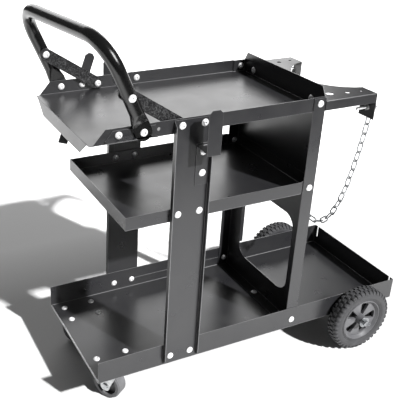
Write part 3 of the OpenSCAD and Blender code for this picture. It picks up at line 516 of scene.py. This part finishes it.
# On these the upright folds are rounded too
UPRIGHT_FOLDS = {"front_post_left", "front_post_right", "rear_frame"}
# An edge that rises by more than this share of its length is upright
UPRIGHT_SHARE = 0.5
SHEET = 1.5
# A cut edge is no wider than the sheet and this much over, and so many times as long as a fold is round
CUT_WIDTH_SHARE = 1.05
CUT_EDGE_LENGTHS = 8
OUTER_FOLD = 2.2
OUTER_FOLD_STEPS = 4
# An inner fold's sides are each at least so many times as wide as it is round
INNER_FOLD = 1.2
INNER_FOLD_WIDTHS = 3
INNER_FOLD_STEPS = 2
EDGE_EASE = 0.35
EDGE_EASE_STEPS = 2
FOLD_TURN = math.radians(60)
SHARP_TURN = math.radians(45)
# The cosine of a turn too small to see
FLAT_ENOUGH_SHARE = 0.99999
# A sheet's materials, by number: the full coat is 0, the folds' painted highlight 1 and the edges' painted
# highlight 2
FOLD_HIGHLIGHT_NUMBER = 1
EDGE_HIGHLIGHT_NUMBER = 2


def mean_width(face):
    return 2 * face.calc_area() / face.calc_perimeter()


def bend(edge, narrowest=0):
    """How far the surface turns at an edge, or 0 where a face beside it is narrower than the narrowest."""
    if not edge.is_manifold or min(mean_width(face) for face in edge.link_faces) < narrowest:
        return 0
    return edge.calc_face_angle_signed()


def keep_flats_flat(mesh, flat_ways):
    """Faces that look one of the flat ways shade flat, and the rounded ones turn between them."""
    looks = np.array([tuple(face.normal) for face in mesh.polygons])
    curved = set(np.nonzero((looks @ flat_ways.T).max(1) < FLAT_ENOUGH_SHARE)[0])
    at_vertex = {}
    for face in mesh.polygons:
        for vertex in face.vertices:
            at_vertex.setdefault(vertex, []).append(face)
    normals = []
    for face in mesh.polygons:
        for vertex in face.vertices:
            flats = [other.normal for other in at_vertex[vertex] if other.index not in curved]
            if face.index not in curved:
                normals.append(face.normal)
            elif flats:
                normals.append(max(flats, key=face.normal.dot))
            else:
                normals.append(sum((other.normal for other in at_vertex[vertex]), Vector()).normalized())
    mesh.shade_smooth()
    mesh.normals_split_custom_set([tuple(normal) for normal in normals])


def fold_sheet(node):
    """A folded sheet with round folds and eased cut edges, made from a copy of the CAD node's mesh."""
    shape = welded(node)
    bmesh.ops.dissolve_limit(shape, angle_limit=FLAT_TURN, verts=shape.verts, edges=shape.edges)
    flat_ways = np.array([tuple(face.normal) for face in shape.faces])
    cut_width = mm(SHEET * CUT_WIDTH_SHARE)

    def may_round(edge):
        rise = (edge.verts[0].co - edge.verts[1].co).normalized().z
        return node in UPRIGHT_FOLDS or abs(rise) < UPRIGHT_SHARE

    # The rounds of the outer folds take the folds' painted highlight, paler than the coat
    outer = [edge for edge in shape.edges if bend(edge, cut_width) > FOLD_TURN and may_round(edge)]
    rounded(shape, outer, OUTER_FOLD, OUTER_FOLD_STEPS, FOLD_HIGHLIGHT_NUMBER)
    # The inner folds take the edges' painted highlight
    inner = [edge for edge in shape.edges if bend(edge, mm(INNER_FOLD_WIDTHS * INNER_FOLD)) < -FOLD_TURN]
    rounded(shape, inner, INNER_FOLD, INNER_FOLD_STEPS, EDGE_HIGHLIGHT_NUMBER)
    bmesh.ops.dissolve_degenerate(shape, dist=mm(SLIVER), edges=shape.edges)
    # Long faces no wider than the sheet are cut edges, and take the edges' painted highlight
    least_cut = mm(OUTER_FOLD) * cut_width * CUT_EDGE_LENGTHS
    for face in shape.faces:
        if mean_width(face) < cut_width and face.calc_area() > least_cut:
            face.material_index = EDGE_HIGHLIGHT_NUMBER
    # The eased sharp edges take the edges' painted highlight as well
    sharp = [edge for edge in shape.edges if bend(edge) > SHARP_TURN]
    rounded(shape, sharp, EDGE_EASE, EDGE_EASE_STEPS, EDGE_HIGHLIGHT_NUMBER)
    # The coat, then the painted highlights of the folds and of the edges
    piece = finished("folded_" + node, shape, BLACK_COAT, PAINTED_FOLD_HIGHLIGHT, PAINTED_EDGE_HIGHLIGHT)
    keep_flats_flat(piece.data, flat_ways)
    stand_for(piece, node)


# Geometry Nodes: trees for what repeats

def new_tree(name, sizes):
    """A geometry tree with a named input of its kind for each size, and its two ends."""
    tree = bpy.data.node_groups.new(name, "GeometryNodeTree")
    tree.interface.new_socket("Geometry", in_out="OUTPUT", socket_type="NodeSocketGeometry")
    for label, kind in {"Geometry": "Geometry", **sizes, "Material": "Material"}.items():
        tree.interface.new_socket(label, in_out="INPUT", socket_type="NodeSocket" + kind)
    return tree, add(tree, "NodeGroupInput").outputs, add(tree, "NodeGroupOutput")


def close_tree(tree, made, sizes, end):
    """Every tree ends so: instances made real, then the material set."""
    real = add(tree, "GeometryNodeRealizeInstances", {"Geometry": made})
    painted = add(tree, "GeometryNodeSetMaterial", {"Geometry": real, "Material": sizes["Material"]})
    plug(tree, end, {"Geometry": painted})
    return tree


def marked_points(name, marks):
    """A mesh of loose points. Each mark is a place, and the vectors and numbers that it carries by name."""
    mesh = bpy.data.meshes.new(name)
    mesh.from_pydata([tuple(place) for place, _ in marks], [], [])
    for label, sample in marks[0][1].items():
        kind, field = ("FLOAT_VECTOR", "vector") if np.ndim(sample) else ("FLOAT", "value")
        values = np.array([mark[label] for _, mark in marks], np.float32)
        mesh.attributes.new(label, kind, "POINT").data.foreach_set(field, values.ravel())
    return mesh


def grow(name, start_mesh, tree, sizes):
    """Runs a tree on a start mesh with its inputs set, and gives the result as a plain mesh object."""
    piece = shown(name, start_mesh)
    modifier = piece.modifiers.new("repeats", "NODES")
    modifier.node_group = tree
    for item in tree.interface.items_tree:
        if item.in_out == "INPUT" and item.name in sizes:
            modifier[item.identifier] = sizes[item.name]
    bpy.context.view_layer.update()
    mesh = bpy.data.meshes.new_from_object(piece.evaluated_get(bpy.context.evaluated_depsgraph_get()))
    piece.modifiers.clear()
    piece.data = mesh
    bpy.data.meshes.remove(start_mesh)
    mesh.name = name
    return piece


def shaped_drum(tree, radius, height, sides, rings, radius_shares):
    """A drum round the Z axis, drawn in to a share of its radius at each share of its height."""
    drum = add(tree, "GeometryNodeMeshCylinder",
               {"Vertices": sides, "Side Segments": rings, "Radius": radius, "Depth": height})
    place = add(tree, "GeometryNodeInputPosition")
    rise = add(tree, "ShaderNodeSeparateXYZ", {0: place}).outputs["Z"]
    rise_share = add(tree, "ShaderNodeMath", {0: rise, 1: height}, operation="DIVIDE")
    level_share = add(tree, "ShaderNodeMath", {0: rise_share, 1: 0.5}, operation="ADD")
    share = add(tree, "ShaderNodeFloatCurve", {"Value": level_share})
    line = share.mapping.curves[0]
    line.points[0].location = radius_shares[0]
    line.points[-1].location = radius_shares[-1]
    for level, radius_share in radius_shares[1:-1]:
        line.points.new(level, radius_share)
    share.mapping.update()
    scale = add(tree, "ShaderNodeCombineXYZ", {"X": share, "Y": share, "Z": 1.0})
    drawn_in = add(tree, "ShaderNodeVectorMath", {0: place, 1: scale}, operation="MULTIPLY")
    return add(tree, "GeometryNodeSetPosition", {"Geometry": drum, "Position": drawn_in})


def stand_out(tree, points, piece, **more):
    """Stands a copy of a piece on each point, with its Z axis along the point's 'out'."""
    out = add(tree, "GeometryNodeInputNamedAttribute", {"Name": "out"}, data_type="FLOAT_VECTOR")
    turn = add(tree, "FunctionNodeAlignRotationToVector", {"Vector": out}, axis="Z")
    return add(tree, "GeometryNodeInstanceOnPoints",
               {"Points": points, "Instance": piece, "Rotation": turn, **more})


# Fasteners

SHANK_D = 6
HEAD_D = 14
HEAD_H = 3.6
HEAD_SIDES = 32
HEAD_RINGS = 7
# The domed head: at each share of its height, its share of the radius
DOME_SHARES = [(0, 0.97), (0.15, 1.0), (0.4, 0.93), (0.65, 0.78), (0.85, 0.57), (1, 0.36)]
SOCKET_W = 4.5
SOCKET_DEEP = 1.9
# A point this much further out than the shank belongs to the head
HEAD_CLEAR = 1
NUT_W = 10
NUT_H = 5
NUT_BORE_GAP = 0.2
NUT_SIDES = 36
NUT_RINGS = 4
# Corners turned off at both faces of a nut
NUT_SHARES = [(0, 0.88), (0.25, 1.0), (0.75, 1.0), (1, 0.88)]
HEX_SIDES = 6
SHANK_SIDES = 20
# A shank is drawn one metre long, and each point shortens it to its own length
DRAWN_SHANK = 1.0
BOLT_CREASE = 50
NUT_CREASE = 38
BOLTS = ["post_bolts", "frame_bolts", "handle_bolts", "hook_bolts", "caster_bolts", "chain_bolt"]
NUTS = ["post_nuts", "frame_nuts", "handle_nuts", "hook_nuts", "caster_nuts", "chain_bolt_nuts"]


def corner_radius(width):
    """From the middle to a corner of a hexagon that is so wide across its flats."""
    return width / math.sqrt(3)


BOLT_SIZES = {
    "Head Radius": mm(HEAD_D / 2),
    "Head Height": mm(HEAD_H),
    "Key Radius": mm(corner_radius(SOCKET_W)),
    "Key Length": mm(2 * SOCKET_DEEP),
    "Shank Radius": mm(SHANK_D / 2),
    "Material": FASTENER_ZINC,
}
NUT_SIZES = {
    "Corner Radius": mm(corner_radius(NUT_W)),
    "Height": mm(NUT_H),
    "Bore Radius": mm((SHANK_D + NUT_BORE_GAP) / 2),
    "Material": FASTENER_ZINC,
}


def button_bolt_tree():
    """Button-head bolts: a domed head with a hex socket and a shank, one at each point, along 'out'."""
    tree, sizes, end = new_tree("button_head_bolts", {
        "Head Radius": "Float", "Head Height": "Float", "Key Radius": "Float", "Key Length": "Float",
        "Shank Radius": "Float"})
    height = sizes["Head Height"]
    head = shaped_drum(tree, sizes["Head Radius"], height, HEAD_SIDES, HEAD_RINGS, DOME_SHARES)
    half_height = add(tree, "ShaderNodeMath", {0: height, 1: 0.5}, operation="MULTIPLY")
    head = add(tree, "GeometryNodeTransform",
               {"Geometry": head, "Translation": add(tree, "ShaderNodeCombineXYZ", {"Z": half_height})})
    key = add(tree, "GeometryNodeMeshCylinder",
              {"Vertices": HEX_SIDES, "Radius": sizes["Key Radius"], "Depth": sizes["Key Length"]})
    key = add(tree, "GeometryNodeTransform",
              {"Geometry": key, "Translation": add(tree, "ShaderNodeCombineXYZ", {"Z": height})})
    head = add(tree, "GeometryNodeMeshBoolean", {"Mesh 1": head, "Mesh 2": key}, operation="DIFFERENCE")
    shank = add(tree, "GeometryNodeMeshCylinder",
                {"Vertices": SHANK_SIDES, "Radius": sizes["Shank Radius"], "Depth": DRAWN_SHANK})
    shank = add(tree, "GeometryNodeTransform",
                {"Geometry": shank, "Translation": (0, 0, -DRAWN_SHANK / 2)})
    length = add(tree, "GeometryNodeInputNamedAttribute", {"Name": "length"}, data_type="FLOAT")
    reach = add(tree, "ShaderNodeCombineXYZ", {"X": 1.0, "Y": 1.0, "Z": length})
    heads = stand_out(tree, sizes["Geometry"], head)
    shanks = stand_out(tree, sizes["Geometry"], shank, Scale=reach)
    both = add(tree, "GeometryNodeJoinGeometry", {0: [heads, shanks]})
    return close_tree(tree, both, sizes, end)


def hex_nut_tree():
    """Hex nuts with their corners turned off, one at each point, standing along 'out'."""
    tree, sizes, end = new_tree("hex_nuts", {
        "Corner Radius": "Float", "Height": "Float", "Bore Radius": "Float"})
    radius, height = sizes["Corner Radius"], sizes["Height"]
    hexagon = add(tree, "GeometryNodeMeshCylinder",
                  {"Vertices": HEX_SIDES, "Radius": radius, "Depth": height})
    drum = shaped_drum(tree, radius, height, NUT_SIDES, NUT_RINGS, NUT_SHARES)
    nut = add(tree, "GeometryNodeMeshBoolean", {"Mesh 2": [hexagon, drum]}, operation="INTERSECT")
    twice_height = add(tree, "ShaderNodeMath", {0: height, 1: 2.0}, operation="MULTIPLY")
    bore = add(tree, "GeometryNodeMeshCylinder",
               {"Vertices": SHANK_SIDES, "Radius": sizes["Bore Radius"], "Depth": twice_height})
    nut = add(tree, "GeometryNodeMeshBoolean", {"Mesh 1": nut, "Mesh 2": bore}, operation="DIFFERENCE")
    return close_tree(tree, stand_out(tree, sizes["Geometry"], nut), sizes, end)


def odd_axis(points):
    """The coordinate axis of a round or six-sided piece: the other two spreads are alike."""
    spread = np.ptp(points, axis=0)
    return int(np.argmin([abs(spread[i - 1] - spread[i - 2]) for i in range(3)]))


def bolt_seat(points):
    """The middle of a bolt head's seat, the way out and the shank's length."""
    axis = odd_axis(points)
    centre = middle_of(points)
    off_axis = np.delete(points - centre, axis, axis=1)
    wide = points[np.linalg.norm(off_axis, axis=1) > mm(SHANK_D / 2 + HEAD_CLEAR)]
    out = np.zeros(3)
    out[axis] = np.sign(wide[:, axis].mean() - centre[axis])
    under = (wide[:, axis] * out[axis]).min()
    seat = centre.copy()
    seat[axis] = under * out[axis]
    return seat, {"out": out, "length": under - (points[:, axis] * out[axis]).min()}


def nut_seat(points):
    """A nut's middle and its axis."""
    return middle_of(points), {"out": np.eye(3)[odd_axis(points)]}


def fit_fasteners():
    kinds = [("button_head_", BOLTS, bolt_seat, button_bolt_tree(), BOLT_SIZES, BOLT_CREASE),
             ("hex_", NUTS, nut_seat, hex_nut_tree(), NUT_SIZES, NUT_CREASE)]
    for kind, nodes, seat, tree, sizes, crease in kinds:
        for node in nodes:
            points = marked_points(node, [seat(solid) for solid in solids_of(node)])
            piece = grow(kind + node, points, tree, sizes)
            smooth(piece.data, crease)
            stand_for(piece, node)


# Chain

LINK_WIRE = 3
LINK_INNER_L = 22.7
LINK_INNER_W = 8
LINK_BEND_STEPS = 7
LINK_WIRE_SIDES = 12
LINK_CREASE = 60
# Just under half a link's width, so that its two bends don't meet
LINK_BEND_SHARE = 0.499
LINK_SIZES = {
    "Length": mm(LINK_INNER_L + LINK_WIRE),
    "Width": mm(LINK_INNER_W + LINK_WIRE),
    "Bend Radius": mm(LINK_BEND_SHARE * (LINK_INNER_W + LINK_WIRE)),
    "Wire Radius": mm(LINK_WIRE / 2),
    "Material": CHAIN_ZINC,
}


def chain_link_tree():
    """Welded chain links of round wire, one at each point, lying along 'along' and flat across 'flat'."""
    tree, sizes, end = new_tree("welded_chain_links", {
        "Length": "Float", "Width": "Float", "Bend Radius": "Float", "Wire Radius": "Float"})
    path = add(tree, "GeometryNodeCurvePrimitiveQuadrilateral",
               {"Width": sizes["Length"], "Height": sizes["Width"]})
    path = add(tree, "GeometryNodeFilletCurve",
               {"Curve": path, "Count": LINK_BEND_STEPS, "Radius": sizes["Bend Radius"]}, mode="POLY")
    wire = add(tree, "GeometryNodeCurvePrimitiveCircle",
               {"Resolution": LINK_WIRE_SIDES, "Radius": sizes["Wire Radius"]}, mode="RADIUS")
    link = add(tree, "GeometryNodeCurveToMesh", {"Curve": path, "Profile Curve": wire})
    along = add(tree, "GeometryNodeInputNamedAttribute", {"Name": "along"}, data_type="FLOAT_VECTOR")
    flat = add(tree, "GeometryNodeInputNamedAttribute", {"Name": "flat"}, data_type="FLOAT_VECTOR")
    turn = add(tree, "FunctionNodeAxesToRotation", {"Primary Axis": along, "Secondary Axis": flat},
               primary_axis="X", secondary_axis="Z")
    links = add(tree, "GeometryNodeInstanceOnPoints",
                {"Points": sizes["Geometry"], "Instance": link, "Rotation": turn})
    return close_tree(tree, links, sizes, end)


def hang_chain():
    tree = chain_link_tree()
    for name, node in (("bottle_chain_links", "bottle_chain"), ("chain_tail_links", "chain_end_links")):
        marks = []
        for points in solids_of(node):
            along, flat = main_directions(points)
            marks.append((middle_of(points), {"along": along, "flat": flat}))
        piece = grow(name, marked_points(node, marks), tree, LINK_SIZES)
        smooth(piece.data, LINK_CREASE)
        stand_for(piece, node)


# Wheels, each made about the origin with its axle along Y

TURNED_STEPS = 96
BOSS_STEPS = 64
WHEEL_CREASE = 30
TYRE_CREASE = 40
# Half of the tyre's section without its lugs, from the bead to the crown: radius and offset along Y
TYRE_HALF_SECTION = [(50.0, 13.5), (50.6, 14.6), (52.0, 14.9), (52.6, 14.2), (53.2, 14.9), (54.6, 15.1),
                     (55.2, 14.5), (56.0, 15.3), (59.5, 16.3), (63.5, 16.0), (69.0, 14.6), (72.5, 11.5),
                     (73.6, 6.0), (73.8, 0.0)]
LUGS = 40
LUG_EASE = 0.7
LUG_EASE_STEPS = 2
# A side lug runs from the sidewall over the shoulder: radius, offset along Y and half its width
SIDE_LUG = [(67.0, 14.0, 2.9), (67.5, 15.6, 2.7), (70.5, 15.6, 3.3), (73.6, 14.2, 3.5), (75.4, 11.3, 3.4),
            (75.8, 7.2, 3.3), (72.5, 6.9, 3.9)]
MIDDLE_LUG = [(72.5, -5.4, 3.7), (75.9, -4.9, 3.2), (76.0, 4.9, 3.2), (72.5, 5.4, 3.7)]
# The middle row of lugs stands this share of a step round from the side rows
MIDDLE_ROW_SHARE = 0.5

# Bore of the hub and the washers, which clears the axle
AXLE_BORE_R = 6.05
# Hub barrel, with its outer side towards +Y: a deep recess that narrows down to the web
BARREL = [(50.8, -13.2), (50.8, 13.2), (48.6, 14.4), (47.6, 14.2), (43.2, 7.6), (42.6, 7.0), (42.6, 0.2),
          (45.0, -4.0), (47.6, -12.6), (48.6, -13.4)]
# Thin wall that closes the hub behind the spokes. Its colour is drawn near black, darker than the hub: painted
# shade in the windows between the spokes
BACK_WALL = [(11.0, -3.2), (43.5, -3.2), (43.5, -1.8), (11.0, -1.8)]
BOSS = [(AXLE_BORE_R, -18.5), (11.2, -18.5), (12.0, -17.7), (12.6, 0.0), (12.6, 8.5), (11.9, 10.0),
        (11.5, 19.7), (10.7, 20.5), (AXLE_BORE_R, 20.5)]
SPOKES = 5
# The first spoke's turn from +X up towards +Z, and the angle that each spoke takes at the boss, in degrees
SPOKE_FIRST = 40
SPOKE_SPREAD = 40
WEB_IN = 0.5
WEB_OUT = 7.5
WEB_EASE = 0.9
WEB_EASE_STEPS = 3
WEB_RIM_R = 44.0
WINDOW_R = 40.4
WEB_ROOT_R = 9.0
WINDOW_CORNER_R = 3.5
# Turns round a window's corner, in radians, and the steps of the web's arcs
CORNER_TURNS = (0.0, 0.35, 0.8, 1.2)
RIM_STEPS = 12
WINDOW_STEPS = 4
ROOT_STEPS = 6


def turned(name, profile, material, steps=TURNED_STEPS):
    """A closed profile of (radius, offset along Y), turned about the Y axis."""
    shape = bmesh.new()
    rings = []
    for k in range(steps):
        angle = math.tau * k / steps
        rings.append([shape.verts.new((mm(r) * math.cos(angle), mm(y), mm(r) * math.sin(angle)))
                      for r, y in profile])
    for k in range(steps):
        near, far = rings[k - 1], rings[k]
        for i in range(len(profile)):
            shape.faces.new((near[i - 1], near[i], far[i], far[i - 1]))
    bmesh.ops.recalc_face_normals(shape, faces=shape.faces)
    return finished(name, shape, material)


def tread_lug(outline):
    """One lug on top of the wheel, from its outline of radius, offset along Y and half width."""
    shape = bmesh.new()
    near, far = [[shape.verts.new((way * mm(half), mm(y), mm(r))) for r, y, half in outline]
                 for way in (-1, 1)]
    shape.faces.new(near)
    shape.faces.new(far[::-1])
    for i in range(len(outline)):
        shape.faces.new((near[i], near[i - 1], far[i - 1], far[i]))
    bmesh.ops.recalc_face_normals(shape, faces=shape.faces)
    rounded(shape, list(shape.edges), LUG_EASE, LUG_EASE_STEPS)
    return finished("lug", shape)


def ring_tree():
    """Copies of one piece turned about the Y axis, evenly spaced."""
    tree, sizes, end = new_tree("ring_about_the_axle", {
        "Count": "Int", "First Angle": "Float", "Piece": "Object"})
    points = add(tree, "GeometryNodePoints", {"Count": sizes["Count"]})
    number = add(tree, "GeometryNodeInputIndex")
    step = add(tree, "ShaderNodeMath", {0: math.tau, 1: sizes["Count"]}, operation="DIVIDE")
    angle = add(tree, "ShaderNodeMath", {0: number, 1: step, 2: sizes["First Angle"]},
                operation="MULTIPLY_ADD")
    turn = add(tree, "FunctionNodeEulerToRotation", {0: add(tree, "ShaderNodeCombineXYZ", {"Y": angle})})
    piece = add(tree, "GeometryNodeObjectInfo", {"Object": sizes["Piece"]}).outputs["Geometry"]
    copies = add(tree, "GeometryNodeInstanceOnPoints",
                 {"Points": points, "Instance": piece, "Rotation": turn})
    return close_tree(tree, copies, sizes, end)


def set_round(name, ring, piece, count, first_angle, material):
    """Sets copies of a piece round the axle as one mesh, and takes the piece itself away."""
    row = grow(name, bpy.data.meshes.new("start"), ring, {
        "Count": count, "First Angle": first_angle, "Piece": piece, "Material": material})
    bpy.data.objects.remove(piece)
    return row


def push_on_axle(whole, side, node):
    """Moves a wheel's piece to its place on the axle, where it stands for its node."""
    whole.data.transform(Matrix.Translation(JOINT_AT["rear_wheel_%s_spin" % side]))
    stand_for(whole, node)


def mount_tyre(side, ring):
    """Lugged tyre: a turned carcass and three rows of lugs, the middle row half a step round."""
    section = [(r, -y) for r, y in TYRE_HALF_SECTION] + TYRE_HALF_SECTION[-2::-1]
    pieces = [turned("carcass", section, TYRE_RUBBER)]
    far_lug = [(r, -y, half) for r, y, half in SIDE_LUG]
    rows = ((SIDE_LUG, 0), (far_lug, 0), (MIDDLE_LUG, MIDDLE_ROW_SHARE))
    for number, (outline, step_share) in enumerate(rows):
        pieces.append(set_round("lug_row_%d" % number, ring, tread_lug(outline), LUGS,
                                step_share * math.tau / LUGS, TYRE_RUBBER))
    node = "rear_tyre_" + side
    push_on_axle(joined("lugged_" + node, pieces, TYRE_CREASE), side, node)


def arc(radius, start, stop, steps):
    """Points of (radius, angle) from one angle to another."""
    return [(radius, start + (stop - start) * k / steps) for k in range(steps + 1)]


def web_sector(way):
    """One fifth of the hub's web: a spoke that widens outwards, and the ring that it runs into."""
    half_pitch, half_spoke = math.pi / SPOKES, math.radians(SPOKE_SPREAD / 2)
    corner_turn = WINDOW_CORNER_R / WINDOW_R
    corner = [(WINDOW_R - WINDOW_CORNER_R * (1 - math.sin(t)), half_spoke + corner_turn * (1 - math.cos(t)))
              for t in CORNER_TURNS]
    polar = (arc(WEB_RIM_R, -half_pitch, half_pitch, RIM_STEPS)
             + arc(WINDOW_R, half_pitch, half_spoke + corner_turn, WINDOW_STEPS)
             + corner[::-1]
             + arc(WEB_ROOT_R, half_spoke, -half_spoke, ROOT_STEPS)
             + [(radius, -angle) for radius, angle in corner]
             + arc(WINDOW_R, -half_spoke - corner_turn, -half_pitch, WINDOW_STEPS))
    shape = bmesh.new()
    inner, outer = [shape.faces.new([shape.verts.new((mm(r) * math.sin(a), mm(way * y), mm(r) * math.cos(a)))
                                     for r, a in polar]) for y in (WEB_IN, WEB_OUT)]
    # No walls at the two ends, where the next sectors join on
    open_ends = {RIM_STEPS, len(polar) - 1}
    for i in range(len(polar)):
        j = (i + 1) % len(polar)
        if i not in open_ends:
            shape.faces.new((inner.verts[i], inner.verts[j], outer.verts[j], outer.verts[i]))
    bmesh.ops.recalc_face_normals(shape, faces=shape.faces)
    rounded(shape, [edge for edge in outer.edges if len(edge.link_faces) == 2], WEB_EASE, WEB_EASE_STEPS)
    return finished("web_sector", shape)


def mount_hub(side, ring):
    """Moulded hub: a barrel under the tyre, a web of five wide spokes set back in it, and the boss."""
    way = SIDES[side]
    # The back wall's near-black colour is painted shade in the windows between the spokes
    parts = (("barrel", BARREL, HUB_NYLON, TURNED_STEPS),
             ("back_wall", BACK_WALL, HUB_BACK_SHADE, TURNED_STEPS),
             ("boss", BOSS, HUB_NYLON, BOSS_STEPS))
    pieces = [turned(name, [(r, way * y) for r, y in profile], material, steps)
              for name, profile, material, steps in parts]
    # The spokes' angles are counted from +X up towards +Z, and the ring's from +Z towards +X
    pieces.append(set_round("web", ring, web_sector(way), SPOKES, math.radians(90 - SPOKE_FIRST), HUB_NYLON))
    node = "rear_hub_" + side
    push_on_axle(joined("spoked_" + node, pieces, WHEEL_CREASE), side, node)


# Small parts on the axle and the front edge

WASHER_ROLL = 0.4
WASHER_STEPS = 64
PIN_WIRE = 1.2
PIN_LENGTH = 28
PIN_EYE_R = 3
# The eye sits back between the legs, and the legs end this far from the pin's tail
PIN_EYE_BACK = 0.4
PIN_SHORT_END = 2.5
PIN_LONG_END = 0.6
# How far the eye's wire turns to each side of the pin's line, in degrees
PIN_EYE_TURN = 160
PIN_EYE_STEPS = 14
WIRE_ROUNDING = 4
WIRE_CREASE = 60
FRONT_EDGE_R = 1.5


def punch_washers():
    """Zinc washers on both sides of each wheel, their edges rolled over by the punch."""
    pieces = []
    for points in solids_of("axle_washers"):
        # Half its thickness and its radius, in millimetres
        half, radius = np.ptp(points, axis=0)[1:] / mm(2)
        flat = radius - WASHER_ROLL
        side = half - WASHER_ROLL
        section = [(AXLE_BORE_R, -half), (flat, -half), (radius, -side), (radius, side), (flat, half),
                   (AXLE_BORE_R, half)]
        washer = turned("washer", section, WASHER_ZINC, WASHER_STEPS)
        washer.data.transform(Matrix.Translation(middle_of(points)))
        pieces.append(washer)
    stand_for(joined("turned_axle_washers", pieces, WHEEL_CREASE), "axle_washers")


def wire_along(name, path, radius, material):
    """Round wire along a path."""
    curve = bpy.data.curves.new(name, "CURVE")
    curve.dimensions = "3D"
    curve.bevel_depth = radius
    curve.bevel_resolution = WIRE_ROUNDING
    curve.use_fill_caps = True
    spline = curve.splines.new("POLY")
    spline.points.add(len(path) - 1)
    for point, place in zip(spline.points, path):
        point.co = (*place, 1)
    wire = shown(name, curve)
    bpy.context.view_layer.update()
    mesh = bpy.data.meshes.new_from_object(wire.evaluated_get(bpy.context.evaluated_depsgraph_get()))
    bpy.data.objects.remove(wire)
    mesh.materials.append(material)
    smooth(mesh, WIRE_CREASE)
    return shown(name, mesh)


def bend_cotter_pins():
    """Split pins: one wire bent back on itself round an eye, its two legs side by side through the axle."""
    pieces = []
    for points in solids_of("cotter_pins"):
        middle = Vector(middle_of(points))
        along = Vector(main_directions(points)[0])
        if along.x < 0:
            along = -along
        across = along.cross(Y).normalized()
        tail = middle + along * (min(points @ np.array(along)) - middle.dot(along))
        neck = tail + along * mm(PIN_LENGTH)
        eye = neck + along * mm(PIN_EYE_R - PIN_EYE_BACK)
        gap = across * mm(PIN_WIRE / 2)
        turns = [math.radians(PIN_EYE_TURN) * (2 * k / PIN_EYE_STEPS - 1) for k in range(PIN_EYE_STEPS + 1)]
        path = ([tail + along * mm(PIN_SHORT_END) - gap, neck - gap]
                + [eye + (along * math.cos(t) + across * math.sin(t)) * mm(PIN_EYE_R) for t in turns]
                + [neck + gap, tail + along * mm(PIN_LONG_END) + gap])
        pieces.append(wire_along("split_pin", path, mm(PIN_WIRE / 2), WASHER_ZINC))
    stand_for(joined("split_cotter_pins", pieces, WIRE_CREASE), "cotter_pins")


def burnish_front_edge():
    """The bottom tray's front edge, rolled under and rubbed bare by feet and kerbs."""
    low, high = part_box("bottom_tray")
    radius = mm(FRONT_EDGE_R)
    path = [(low[0] + radius, y, low[2] + radius) for y in (low[1] + radius, high[1] - radius)]
    stand_for(wire_along("burnished_front_edge", path, radius, BURNISHED_EDGE), "bottom_tray")


# The cart: its CAD nodes in their finishes, then the pieces that stand for some of them

CAD_CREASE = 32
ROUND_NODES = {"handle", "rear_axle", "brace_spacers"}

for node, thing in NODES.items():
    thing.data.materials.clear()
    thing.data.materials.append(OWN_FINISH.get(node, SLOT_FINISH[SLOT_OF[node]]))
    if node.startswith("caster") or node in ROUND_NODES:
        smooth(thing.data, CAD_CREASE)
for node in SHEETS:
    fold_sheet(node)
fit_fasteners()
hang_chain()
lug_ring = ring_tree()
for side in SIDES:
    mount_tyre(side, lug_ring)
    mount_hub(side, lug_ring)
punch_washers()
bend_cotter_pins()
burnish_front_edge()

set_camera()
set_studio()
lay_floor()
